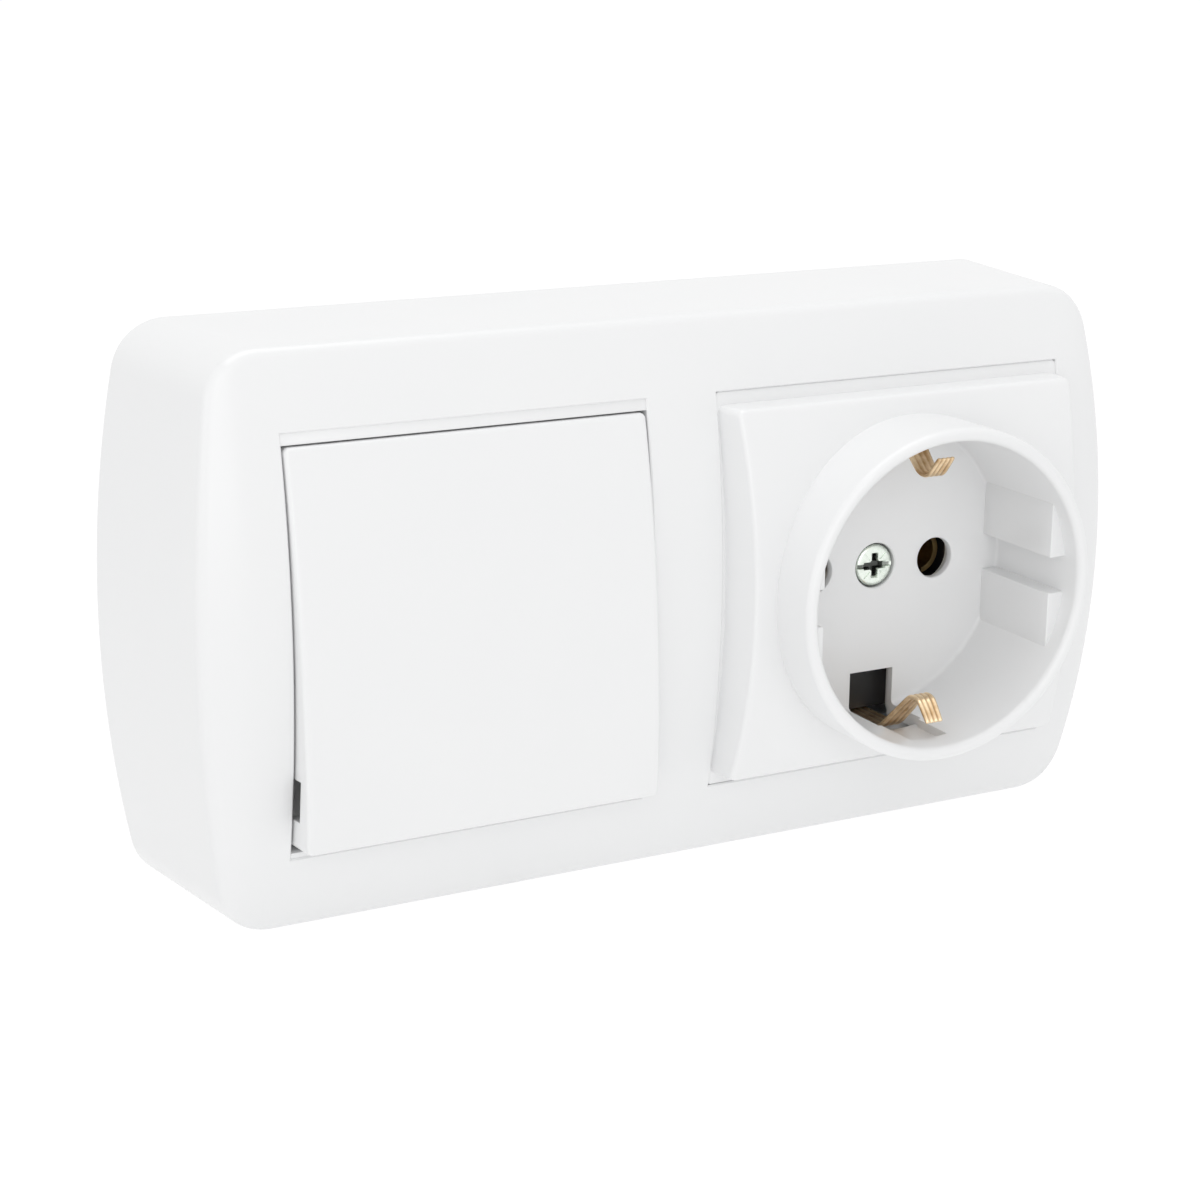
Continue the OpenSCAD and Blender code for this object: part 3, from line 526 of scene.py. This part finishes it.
@dataclass
class DomedShell:
    """A cap drawn as one sheet: a domed front, a rounded crease, and a side wall back to an open rim.

    half_w and half_h give half the outline's width and height at a depth, and front gives the depth of the
    front at a place. The outline's sides bulge with one radius and its corners are round. columns and rows
    are the inner lines that the sheet must hold, from the shell's own middle.
    """

    half_w: Callable[[float], float]
    half_h: Callable[[float], float]
    front: Callable[[float, float], float]
    back: float
    corner: float
    crease: float
    columns: Sequence[float]
    rows: Sequence[float]
    middle_x: float = 0.0
    bulge: float = 1.0e5
    border_room: float = 0.6
    margin_steps: int = 1
    crease_steps: int = 5
    side_steps: int = 2

    def __post_init__(self) -> None:
        """Lists the rings outside the inner field: on the front, over the crease, and down the side."""
        flat = self.corner - self.crease
        self.rings: list[tuple[str, float]] = [
            ("front", flat * (k + 1) / self.margin_steps) for k in range(self.margin_steps)
        ]
        self.rings += [("crease", (k + 1) / self.crease_steps) for k in range(self.crease_steps)]
        self.rings += [("side", 1 - (k + 1) / self.side_steps) for k in range(self.side_steps)]

    def _level(self, index: int, inner: int) -> tuple[int, int, int]:
        """Which ring a line belongs to (0 inside), on which side, and its number among the inner lines."""
        count = len(self.rings)
        if index < count:
            return count - index, -1, 0
        if index > count + inner - 1:
            return index - (count + inner - 1), 1, inner - 1
        return 0, 0, index - count

    def _spot(self, column: int, row: int, reach: float, depth: float) -> tuple[float, float]:
        """Place of a crossing, seen from the front.

        Args:
            column: Number of the upright line.
            row: Number of the level line.
            reach: How far outside the inner field it lies, up to the corner radius at the outline.
            depth: Depth that the outline is taken at.

        Returns:
            Its x, from the shell's middle, and its z.
        """
        a, sx, i = self._level(column, len(self.columns) + 2)
        b, sz, j = self._level(row, len(self.rows) + 2)
        out = reach / self.corner
        inner_y = self.half_h(depth) - self.corner
        radius = self.bulge - self.corner
        bulge_x = self.half_w(depth) - self.bulge
        z = self._inner(j, self.rows, inner_y)
        arc = bulge_x + math.sqrt(radius * radius - z * z)
        right = sx > 0 or i > len(self.columns) // 2
        border = max(arc, self.border_room + (self.columns[-1] if right else -self.columns[0]))
        if a and b:
            turn = b / a / 2 if a >= b else 1 - a / b / 2
            start = math.asin(inner_y / radius)
            angle = start + (math.pi / 2 - start) * turn
            end = arc + self.corner * math.cos(angle)
            return sx * (border + (end - border) * out), sz * (inner_y + reach * math.sin(angle))
        if a:
            angle = math.asin(z / radius)
            end = bulge_x + self.bulge * math.cos(angle)
            return sx * (border + (end - border) * out), z + (self.bulge * math.sin(angle) - z) * out
        x = self._inner(i, self.columns, border)
        if b:
            keep = 0.7 * arc
            if abs(x) > keep:
                end = math.copysign(keep + (abs(x) - keep) * (arc - keep) / (border - keep), x)
                x += (end - x) * out
            return x, sz * (inner_y + reach)
        return x, z

    @staticmethod
    def _inner(index: int, lines: Sequence[float], end: float) -> float:
        """Value of an inner line, whose first and last lie on the inner field's border."""
        if index == 0:
            return -end
        return end if index == len(lines) + 1 else lines[index - 1]

    def _on_front(self, column: int, row: int, reach: float) -> Vector:
        """Point of the front at a reach outside the inner field."""
        depth = self.front(0.0, 0.0)
        for _ in range(6):
            x, z = self._spot(column, row, reach, depth)
            depth = self.front(x, z)
        return Vector((x, -depth, z))

    def point(self, column: int, row: int) -> Vector:
        """Point of the sheet where a column and a row cross."""
        level = max(
            self._level(column, len(self.columns) + 2)[0], self._level(row, len(self.rows) + 2)[0]
        )
        kind, value = self.rings[level - 1] if level else ("front", 0.0)
        middle = Vector((self.middle_x, 0, 0))
        if kind == "front":
            return middle + self._on_front(column, row, value)
        edge = self._on_front(column, row, self.corner)
        side_depth = -edge.y - self.crease
        if kind == "crease":
            start = self._on_front(column, row, self.corner - self.crease)
            x, z = self._spot(column, row, self.corner, side_depth)
            end = Vector((x, -side_depth, z))
            return middle + start * (1 - value) ** 2 + edge * (2 * value * (1 - value)) + end * value**2
        depth = self.back + (side_depth - self.back) * value
        x, z = self._spot(column, row, self.corner, depth)
        return middle + Vector((x, -depth, z))

    def make(self, name: str) -> bpy.types.Object:
        """Draws the sheet."""
        rings = 2 * len(self.rings) + 2
        return Bench.sheet(name, rings + len(self.columns), rings + len(self.rows), self.point)


def dome(radius: float, axis: float) -> Callable[[float, float], float]:
    """Depth of a front that is curved about a level line."""
    return lambda x, z: axis + math.sqrt(radius * radius - z * z)


def spread(low: float, high: float, count: int) -> list[float]:
    """Evenly spread values from low to high, both ends with them."""
    return [low + (high - low) * k / (count - 1) for k in range(count)]


def arc(across: float, depth: float, radius: float, start: float, end: float, steps: int) -> list[tuple[float, float]]:
    """Points of an arc about a middle, with both ends. The angles are in radians, from the first axis."""
    angles = spread(start, end, steps + 1)
    return [(across + radius * math.cos(angle), depth + radius * math.sin(angle)) for angle in angles]


@dataclass
class Housing:
    """The one-piece housing: a front curved about a level line, bulged sides, and a window for each insert."""

    width: float = 136.4
    height: float = 71.6
    face: float = 28.43
    front_radius: float = 130.0
    side_radius: float = 155.0
    corner: float = 7.0
    crease: float = 1.1
    side_lean: float = 3.7
    top_lean: float = 0.4
    wall: float = 1.8
    roll_width: float = 10.2
    roll_radius: float = 14.0
    ledge: float = 18.8
    ledge_width: float = 2.4
    window_half_height: float = 26.0
    windows: tuple[tuple[float, float], ...] = ((-54.0, -6.0), (3.6, 56.4))
    post: tuple[float, float] = (-4.08, 1.68)
    rim: float = 0.18
    front_from: float = -20.0

    def front(self, x: float, z: float) -> float:
        """Depth of the front, whose two ends roll back softly."""
        over = max(0.0, abs(x) - (self.width / 2 - self.roll_width))
        drop = self.roll_radius - math.sqrt(max(0.01, self.roll_radius**2 - over**2))
        return FACE_AXIS + math.sqrt((self.front_radius - drop) ** 2 - z * z)

    def build(self) -> bpy.types.Object:
        """Models the housing.

        Returns:
            The housing with its windows, ledges and wall.
        """
        half = self.window_half_height
        switch, socket = self.windows
        columns = [*spread(*switch, 17), *spread(*self.post, 4), *spread(*socket, 18)]
        shell = DomedShell(
            half_w=lambda depth: self.width / 2 - self.side_lean * depth / self.face,
            half_h=lambda depth: self.height / 2 - self.top_lean * depth / self.face,
            front=self.front, back=0.0, corner=self.corner, crease=self.crease,
            columns=columns, rows=spread(-half, half, 23), bulge=self.side_radius,
            margin_steps=5, crease_steps=6, side_steps=5,
        )
        piece = shell.make("housing_shell")
        for window in self.windows:
            self._open(piece, *window)
        Bench.modifier(piece, "SOLIDIFY", thickness=self.wall * MM, offset=-1, use_even_offset=False)
        Bench.shape(piece, lambda p: Vector((p.x, min(p.y, 0.0), p.z)))
        Bench.smooth(piece, 38)
        return piece

    def _open(self, piece: bpy.types.Object, left: float, right: float) -> None:
        """Cuts one window and draws its rim, its wall and its ledge back from the front."""
        half = self.window_half_height
        middle = ((left + right) / 2 * MM, 0, 0)
        Bench.select(
            piece, Pick.FACES, lambda p: left < p.x < right and abs(p.z) < half and p.y < self.front_from
        )
        bpy.ops.mesh.delete(type="FACE")
        Bench.done()

        def on_rim(p: Vector) -> bool:
            """True on the window's border."""
            near = left - 0.01 < p.x < right + 0.01 and abs(p.z) < half + 0.01
            far = min(abs(p.x - left), abs(p.x - right)) < 0.01 or abs(abs(p.z) - half) < 0.01
            return near and far and p.y < self.front_from

        Bench.select(piece, Pick.EDGES, on_rim)
        wide, high = (right - left) / 2, half
        for inset in (self.rim * 0.3, self.rim * 0.7):
            bpy.ops.mesh.extrude_edges_move(TRANSFORM_OT_translate={"value": (0, inset * MM, 0)})
            factor = ((wide - inset) / wide, 1, (high - inset) / high)
            bpy.ops.transform.resize(value=factor, center_override=middle)
            wide, high = wide - inset, high - inset
        bpy.ops.mesh.extrude_edges_move()
        bpy.ops.transform.resize(value=(1, 0, 1), center_override=(0, -self.ledge * MM, 0))
        bpy.ops.mesh.extrude_edges_move()
        factor = ((wide - self.ledge_width) / wide, 1, (high - self.ledge_width) / high)
        bpy.ops.transform.resize(value=factor, center_override=middle)
        Bench.done()


@dataclass
class Rocker:
    """The rocker: a shallow cap with a curved face, tilted at rest with its bottom edge out."""

    half_width: float = 23.6
    half_height: float = 23.8
    edge: float = 28.5
    skirt: float = 5.7
    face_radius: float = 165.0
    wall: float = 1.8
    corner: float = 0.75
    crease: float = 0.55
    notch_low: float = -20.1
    notch_height: float = 5.2
    notch_depth: float = 3.6
    notch_slope: float = 0.23
    longer: float = 0.75
    pivot: float = 22.5
    tilt: float = 5.5

    def build(self) -> bpy.types.Object:
        """Models the rocker.

        Returns:
            The rocker at rest.
        """
        axis = self.edge - math.sqrt(self.face_radius**2 - self.half_height**2)
        back = self.edge - self.skirt
        shell = DomedShell(
            half_w=lambda depth: self.half_width, half_h=lambda depth: self.half_height,
            front=dome(self.face_radius, axis), back=back, corner=self.corner, crease=self.crease,
            columns=spread(-20.0, 20.0, 5), rows=spread(-21.5, 21.5, 22), middle_x=SWITCH_X,
            crease_steps=4,
        )
        piece = shell.make("rocker_cap")
        Bench.modifier(piece, "SOLIDIFY", thickness=self.wall * MM, offset=-1, use_even_offset=False)
        left = SWITCH_X - self.half_width
        low, high = self.notch_low, self.notch_low + self.notch_height
        notch = Bench.box("notch", (left - 1, back - 3, low), (left + 3, back + self.notch_depth, high))
        Bench.shape(notch, lambda p: Vector((p.x, p.y - (p.z - low) * self.notch_slope, p.z)))
        Bench.carve(piece, notch)
        turn = Matrix.Rotation(math.radians(-self.tilt), 4, "X")
        pivot = Matrix.Translation((0, -self.pivot, 0))
        place = pivot @ turn @ pivot.inverted()
        lowest = Vector((0, 0, -self.longer))
        Bench.shape(piece, lambda p: place @ (p + lowest if p.z < -self.half_height / 2 else p))
        Bench.smooth(piece, 32)
        return piece


@dataclass
class SwitchFrame:
    """The frame round the rocker: its own solid, with the lower strip cut back to the rocker's edge."""

    half_width: float = 25.0
    plate_front: float = 20.3
    strip_front: float = 27.0
    strip_low: float = -25.1
    strip_high: float = -24.3

    def build(self) -> bpy.types.Object:
        """Models the frame.

        Returns:
            The frame in its window.
        """
        piece = Bench.copied("switch_frame_shell", frame["nodes"]["switch_frame"])
        low = (SWITCH_X - self.half_width, self.plate_front, self.strip_low)
        high = (SWITCH_X + self.half_width, self.strip_front, self.strip_high)
        Bench.carve(piece, Bench.box("strip_room", low, high))
        Bench.soften(piece, 0.12, 2, 50)
        Bench.smooth(piece, 30)
        return piece


@dataclass
class SocketCover:
    """The socket's cover: a plate in the window, a raised block with a curved face, and a collared recess."""

    half_width: float = 26.28
    plate_half_height: float = 25.8
    block_half_height: float = 24.2
    ledge: float = 18.8
    sink: float = 0.25
    block: float = 33.93
    block_radius: float = 75.0
    lean: float = 1.6
    lean_start: float = 25.4
    recess: float = 19.9
    collar: float = 21.7
    rim: float = 41.12
    floor: float = 23.63
    floor_back: float = 20.93
    pin_reach: float = 9.5
    pin_radius: float = 2.7
    gap_half_width: float = 3.4
    gap_near: float = 14.45
    gap_far: float = 21.8
    gap_front: float = 30.66
    bed_radius: float = 3.05
    skin: float = 1.0
    relief: float = 0.9
    root: float = 0.6
    wall: float = 1.6
    bed: float = 22.03
    pad: float = 17.4
    pad_low: float = 2.4
    pad_high: float = 9.66
    pad_front: float = 38.13

    def _leaning(self, depth: float) -> float:
        """Half the block's width at a depth: upright at the window, then leaning in."""
        share = (depth - self.lean_start) / (self.block - self.lean_start)
        return self.half_width - self.lean * max(0.0, share)

    def _plate(self) -> bpy.types.Object:
        """The plate that fills the window, its front a little below the housing's."""
        shell = DomedShell(
            half_w=lambda depth: self.half_width, half_h=lambda depth: self.plate_half_height,
            front=dome(130.0 - self.sink, FACE_AXIS), back=self.ledge, corner=0.5, crease=0.2,
            columns=spread(-24.0, 24.0, 5), rows=spread(-24.5, 24.5, 21), middle_x=SOCKET_X,
            crease_steps=3, side_steps=1,
        )
        return shell.make("cover_plate")

    def _raised(self) -> bpy.types.Object:
        """The raised block."""
        shell = DomedShell(
            half_w=self._leaning, half_h=lambda depth: self.block_half_height,
            front=dome(self.block_radius, self.block - self.block_radius), back=self.ledge + 0.5,
            corner=1.0, crease=0.55, columns=spread(-22.0, 22.0, 5), rows=spread(-22.0, 22.0, 27),
            middle_x=SOCKET_X, crease_steps=4, side_steps=4,
        )
        return shell.make("cover_block")

    def _cup(self) -> bpy.types.Object:
        """The collar with its round lip, and the recess with its floor."""
        lip = (self.collar - self.recess) / 2
        middle = self.recess + lip
        profile = [(self.collar - 0.5, self.floor_back), (self.collar, self.floor_back + 0.5)]
        profile += arc(middle, self.rim - lip, lip, 0, math.pi, 12)
        profile += arc(self.recess - self.root, self.floor + self.root, self.root, 0, -math.pi / 2, 4)
        profile += [(12.0, self.floor), (6.0, self.floor)]
        cup = Bench.turned("cover_cup", SOCKET_X, 0.0, profile, 144)
        for side in (-1, 1):
            behind = self.pin_radius + self.relief
            pin = [(behind, self.floor_back - 1), (behind, self.floor - self.skin - 0.1)]
            pin += [(self.pin_radius, self.floor - self.skin), (self.pin_radius, self.floor - 0.25)]
            pin += [(self.pin_radius + 0.08, self.floor - 0.08), (self.pin_radius + 0.3, self.floor + 0.02)]
            pin.append((self.pin_radius + 0.3, self.floor + 1))
            Bench.carve(cup, Bench.turned("pin_hole", SOCKET_X + side * self.pin_reach, 0.0, pin, 64))
            wide, gap = self.gap_half_width, (self.gap_near, self.gap_far)
            for name, half, ends, back, front in (
                ("earth_gap", wide, gap, self.floor_back - 1, self.gap_front),
                ("gap_relief", wide + self.relief, gap, self.floor_back - 1, self.floor - self.skin),
                ("clip_room", wide - 0.5, (self.recess - 1, self.recess + 0.9), self.gap_front - 1, self.rim - 4),
            ):
                low, high = sorted(side * end for end in ends)
                Bench.carve(cup, Bench.box(name, (SOCKET_X - half, back, low), (SOCKET_X + half, front, high)))
        bed = [(self.bed_radius, self.bed), (self.bed_radius, self.floor - 0.15)]
        bed += [(self.bed_radius + 0.15, self.floor + 0.01), (self.bed_radius + 0.15, self.floor + 1)]
        Bench.carve(cup, Bench.turned("screw_bed", SOCKET_X, 0.0, bed, 64))
        return cup

    def _pads(self) -> list[bpy.types.Object]:
        """The flat guide pads that thicken the recess wall on each side."""
        pads = []
        outer = self.recess + 0.7
        for sx in (-1, 1):
            for sz in (-1, 1):
                ends = sorted((sx * self.pad, sx * outer))
                rise = sorted((sz * self.pad_low, sz * self.pad_high))
                pad = Bench.box("pad", (ends[0], self.floor - 0.5, rise[0]), (ends[1], self.pad_front, rise[1]))
                Bench.whole(pad)
                bpy.ops.mesh.subdivide(number_cuts=5)
                Bench.done()

                def fit(p: Vector, sx: int = sx) -> Vector:
                    """Bends the hidden outer face to the round wall, and puts the pad in the socket."""
                    share = (abs(p.x) - self.pad) / (outer - self.pad)
                    reach = math.sqrt(outer**2 - p.z**2) - self.pad
                    return Vector((SOCKET_X + sx * (self.pad + reach * share), p.y, p.z))

                Bench.shape(pad, fit)
                Bench.soften(pad, 0.25, 3, 50)
                pads.append(pad)
        return pads

    def build(self) -> bpy.types.Object:
        """Models the cover.

        Returns:
            The cover in its window.
        """
        parts = []
        for part in (self._plate(), self._raised()):
            Bench.modifier(part, "SOLIDIFY", thickness=self.wall * MM, offset=-1, use_even_offset=False)
            hole = [(self.collar - 0.6, self.ledge - 4), (self.collar - 0.6, self.rim)]
            Bench.carve(part, Bench.turned("hole", SOCKET_X, 0.0, hole, 144))
            parts.append(part)
        parts.append(self._cup())
        parts += self._pads()
        piece = Bench.joined("socket_cover_shell", parts)
        Bench.smooth(piece, 32)
        return piece


@dataclass
class EarthClips:
    """The ribbed, bent spring clips of the earth strap, with their arms up from behind the socket's body."""

    arm_y: float = 21.0
    fold: float = 27.98
    ridge_y: float = 14.75
    ridge: float = 35.23
    tip_y: float = 17.45
    tip: float = 38.33
    bend: float = 1.9
    thickness: float = 0.66
    wide: float = 3.9
    narrow: float = 2.6
    ribs: int = 4

    def _path(self) -> list[tuple[float, float]]:
        """Reach from the middle and depth of each level line of a clip, from the arm's foot to the tip."""
        arm = math.atan2(self.ridge - self.fold, self.arm_y - self.ridge_y)
        tip_angle = math.atan2(self.tip - self.ridge, self.tip_y - self.ridge_y)
        centre = (self.ridge_y + self.bend, self.ridge)
        turn = arc(*centre, self.bend, math.radians(270) - arm, math.pi / 2 + tip_angle, 8)
        path = [(self.arm_y, 3.0), (self.arm_y, self.fold - 1.5), (self.arm_y - 0.1, self.fold - 0.6)]
        for share in (0.08, 0.35, 0.65, 0.9):
            path.append(self._between((self.arm_y, self.fold), turn[0], share))
        path += turn
        for share in (0.35, 0.75, 1.0):
            path.append(self._between(turn[-1], (self.tip_y, self.tip), share))
        return path

    @staticmethod
    def _between(start: tuple[float, float], end: tuple[float, float], share: float) -> tuple[float, float]:
        """Point at a share of the way from start to end."""
        return start[0] + (end[0] - start[0]) * share, start[1] + (end[1] - start[1]) * share

    def _clip(self, side: int) -> bpy.types.Object:
        """One clip, above or below the middle."""
        path = self._path()
        lines = self.ribs * 4 + 1

        def place(column: int, row: int) -> Vector:
            """Point of the strip: rows run along the path, and the strip narrows to its tip."""
            reach, depth = path[row]
            across = side * self._width_at(depth) * (column / (lines - 1) - 0.5)
            return Vector((SOCKET_X + across, -depth, side * reach))

        clip = Bench.sheet("clip", lines, len(path), place)
        ribs = clip.vertex_groups.new(name="ribs")
        waves = []
        for corner in clip.data.vertices:
            width_share = (corner.co.x / MM - SOCKET_X) / self._width_at(-corner.co.y / MM) + 0.5
            waves.append(0.5 - 0.5 * math.cos(2 * math.pi * self.ribs * width_share))
            ribs.add([corner.index], 0.4 + 0.6 * waves[-1], "REPLACE")
        # Mask for the painted shade in the grooves between the ribs.
        groove = clip.data.attributes.new(GROOVE, "FLOAT", "POINT")
        groove.data.foreach_set("value", [1 - wave for wave in waves])
        Bench.modifier(
            clip, "SOLIDIFY", thickness=self.thickness * MM, offset=0, use_even_offset=True,
            vertex_group="ribs", thickness_vertex_group=0.0,
        )
        Bench.modifier(clip, "SUBSURF", levels=2, render_levels=2)
        return clip

    def _width_at(self, depth: float) -> float:
        """Width of the strip at a depth."""
        share = max(0.0, min(1.0, (depth - self.fold) / (self.tip - self.fold)))
        return self.wide + (self.narrow - self.wide) * share

    def build(self) -> bpy.types.Object:
        """Models both clips.

        Returns:
            The strap's visible part.
        """
        strap = Bench.box("strap", (SOCKET_X - 2.5, 2.62, -21.2), (SOCKET_X + 2.5, 3.38, 21.2))
        Bench.soften(strap, 0.1)
        piece = Bench.joined("earth_clips", [strap, self._clip(1), self._clip(-1)])
        Bench.tidy(piece)
        Bench.smooth(piece, 50)
        return piece


@dataclass
class CentreScrew:
    """The socket's centre screw: a low domed head with a cross recess, a slot and four short marks."""

    head: float = 2.85
    bed: float = 22.03
    top: float = 23.48
    edge: float = 0.55
    cross: float = 1.15
    shank: float = 1.75
    ring: float = 1.75

    def build(self) -> bpy.types.Object:
        """Models the screw.

        Returns:
            The screw, seated in its bed.
        """
        edge = self.edge
        profile = [(self.shank, 3.5), (self.shank, self.bed), (self.head - 0.1, self.bed), (self.head, self.bed + 0.1)]
        profile += arc(self.head - edge, self.top - edge, edge, 0, math.pi / 2, 5)
        profile += [(1.2, self.top), (0.6, self.top)]
        screw = Bench.turned("centre_screw_head", SOCKET_X, 0.0, profile, 96)
        for turn in (0, 90):
            Bench.carve(screw, self._wing(turn, self.head * 0.68, self.cross / 2, 1.1))
        Bench.carve(screw, self._wing(0, self.head + 1, self.cross * 0.34, 0.45))
        for turn in (45, 135):
            Bench.carve(screw, self._wing(turn, self.head * 0.36, 0.18, 0.7))
        for turn in (45, 135, 225, 315):
            angle = math.radians(turn)
            x, z = SOCKET_X + self.ring * math.cos(angle), -self.ring * math.sin(angle)
            mark = Bench.box(
                "mark", (x - 0.6, self.top - 0.13, z - 0.1), (x + 0.6, self.top + 0.5, z + 0.1), turn
            )
            Bench.carve(screw, mark)
        Bench.soften(screw, 0.05, 2, 35)
        Bench.smooth(screw, 40)
        return screw

    def _wing(self, turn: float, reach: float, half: float, depth: float) -> bpy.types.Object:
        """A cutter for one line of the recess, narrower at its bottom."""
        top = self.top
        wing = Bench.box("wing", (SOCKET_X - reach, top - depth, -half), (SOCKET_X + reach, top + 0.5, half))
        matrix = Matrix.Translation((SOCKET_X, 0, 0)) @ Matrix.Rotation(math.radians(turn), 4, "Y")
        back = Matrix.Translation((-SOCKET_X, 0, 0))

        def taper(p: Vector) -> Vector:
            """Draws the bottom in and turns the cutter."""
            share = 0.62 if -p.y < top - depth / 2 else 1.0
            return matrix @ back @ Vector((SOCKET_X + (p.x - SOCKET_X) * share, p.y, p.z * share))

        Bench.shape(wing, taper)
        return wing


@dataclass
class Studio:
    """The stage: a pale floor, soft lamps, and the camera at the photograph's angle."""

    floor_z: float = -35.8
    azimuth: float = -28.25
    elevation: float = 15.64
    roll: float = 0.48
    focal_px: float = 2558.0
    image_px: float = 1200.0
    eye: tuple[float, float, float] = (-156.46, -293.96, 86.35)
    ambient: float = 0.70
    glow: float = 1.12
    glow_least: float = 0.45
    glow_more: float = 0.35

    def camera(self) -> None:
        """Puts the camera where the photograph was taken from."""
        data = bpy.data.cameras.new("studio_camera")
        camera = bpy.data.objects.new("studio_camera", data)
        bpy.context.scene.collection.objects.link(camera)
        a, e, r = (math.radians(v) for v in (self.azimuth, self.elevation, self.roll))
        back = Vector((math.sin(a) * math.cos(e), -math.cos(a) * math.cos(e), math.sin(e)))
        right = Vector((math.cos(a), math.sin(a), 0))
        up = back.cross(right)
        side = right * math.cos(r) + up * math.sin(r)
        top = up * math.cos(r) - right * math.sin(r)
        axes = Matrix((side, top, back)).transposed().to_4x4()
        camera.matrix_world = Matrix.Translation(Vector(self.eye) * MM) @ axes
        data.sensor_fit = "AUTO"
        data.sensor_width = 36
        data.lens = 36 * self.focal_px / self.image_px
        data.clip_start = 0.01
        data.clip_end = 20
        bpy.context.scene.camera = camera

    def lamp(self, name: str, place: Sequence[float], size: float, watts: float) -> None:
        """A square soft lamp that faces the object, placed in millimetres."""
        data = bpy.data.lights.new(name, "AREA")
        data.shape = "SQUARE"
        data.size = size * MM
        data.energy = watts
        lamp = bpy.data.objects.new(name, data)
        bpy.context.scene.collection.objects.link(lamp)
        lamp.location = Vector(place) * MM
        lamp.rotation_mode = "QUATERNION"
        lamp.rotation_quaternion = (Vector((0, -15, 0)) - Vector(place)).to_track_quat("-Z", "Y")

    @staticmethod
    def _seen(tree: bpy.types.NodeTree) -> Signal:
        """One for the rays that show the background: to the camera, in reflections, and through glass."""
        rays = tree.nodes.new("ShaderNodeLightPath").outputs
        seen = Signal(tree, rays["Is Camera Ray"])
        for kind in ("Is Glossy Ray", "Is Transmission Ray"):
            seen = seen.most(Signal(tree, rays[kind]))
        return seen

    def world(self) -> None:
        """An even pale surround: white where it is seen, softer as light."""
        world = bpy.data.worlds.new("studio")
        bpy.context.scene.world = world
        world.use_nodes = True
        tree = world.node_tree
        level = self._seen(tree) * (1.0 - self.ambient) + self.ambient
        sky = tree.nodes["Background"]
        sky.inputs["Color"].default_value = (1, 1, 1, 1)
        tree.links.new(level.socket, sky.inputs["Strength"])

    def floor(self) -> None:
        """A wide pale floor that keeps the object's shadow."""
        Bench.clear()
        bpy.ops.mesh.primitive_plane_add(size=12, location=(0, 0, self.floor_z * MM))
        floor = Bench.named("floor")
        paint = Paint("floor_pale")
        tree = paint.tree
        paint.put(Base_Color=(0.9, 0.9, 0.9, 1), Roughness=0.9, Specular_IOR_Level=0.0)
        glow = tree.nodes.new("ShaderNodeEmission")
        glow.inputs["Strength"].default_value = self.glow
        mix = tree.nodes.new("ShaderNodeMixShader")
        tree.links.new((self._seen(tree) * self.glow_more + self.glow_least).socket, mix.inputs[0])
        tree.links.new(paint.shader.outputs[0], mix.inputs[1])
        tree.links.new(glow.outputs[0], mix.inputs[2])
        tree.links.new(mix.outputs[0], tree.nodes["Material Output"].inputs["Surface"])
        floor.data.materials.append(paint.material)

    def build(self) -> None:
        """Sets the whole stage."""
        self.camera()
        self.world()
        self.floor()
        self.lamp("key", (-260, -780, 260), 700, 1.4)
        self.lamp("side", (-900, -220, 120), 600, 0.6)
        self.lamp("top", (0, -60, 900), 700, 2.6)
        bpy.context.scene.view_settings.view_transform = "Standard"


@dataclass(frozen=True)
class Fitting:
    """How a finished piece is hung on the frame: its body, its finish, and the nodes that it stands for."""

    body: str
    slot: str
    nodes: tuple[str, ...]


class Assembly:
    """Hangs the modelled pieces on the frame and dresses the CAD nodes that stay."""

    def __init__(self) -> None:
        """Prepares the finishes and reads each node's slot from the record."""
        self.finishes = Finishes()
        self.slots = {part["node"]: part["material_slot"] for part in frame["record"]["subparts"]}
        self.replaced: set[str] = set()

    def fit(self, piece: bpy.types.Object, fitting: Fitting, finish: Optional[str] = None) -> None:
        """Dresses a piece, hangs it on its body and hides the nodes that it replaces."""
        self.finishes.dress(piece, finish or fitting.slot)
        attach(piece, fitting.body)
        for node in fitting.nodes:
            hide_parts(node)
            self.replaced.add(node)
        LOG.info("%s stands for %s: %d faces", piece.name, ", ".join(fitting.nodes), len(piece.data.polygons))

    def dress_nodes(self) -> None:
        """Gives every CAD node that stays the finish of its slot."""
        for name, node in frame["nodes"].items():
            if name not in self.replaced:
                self.finishes.dress(node, self.slots[name])
                LOG.info("%s dressed as %s", name, self.slots[name])


def main() -> None:
    """Builds the stage and every piece, in order."""
    logging.basicConfig(level=logging.INFO, format="%(message)s")
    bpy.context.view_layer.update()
    Studio().build()
    assembly = Assembly()
    assembly.fit(Housing().build(), Fitting("base", "white_gloss", ("housing",)))
    assembly.fit(SwitchFrame().build(), Fitting("base", "white_gloss", ("switch_frame",)))
    assembly.fit(Rocker().build(), Fitting("rocker", "white_gloss", ("rocker",)))
    assembly.fit(SocketCover().build(), Fitting("base", "white_gloss", ("socket_cover", "recess_floor")))
    assembly.fit(EarthClips().build(), Fitting("base", "earth_bronze", ("earth_strap",)))
    screw = Fitting("base", "zinc_steel", ("centre_screw",))
    assembly.fit(CentreScrew().build(), screw, "zinc_recess_shaded")
    assembly.dress_nodes()
    Bench.clear()
    LOG.info("sizes written")


if __name__ == "__main__":
    main()
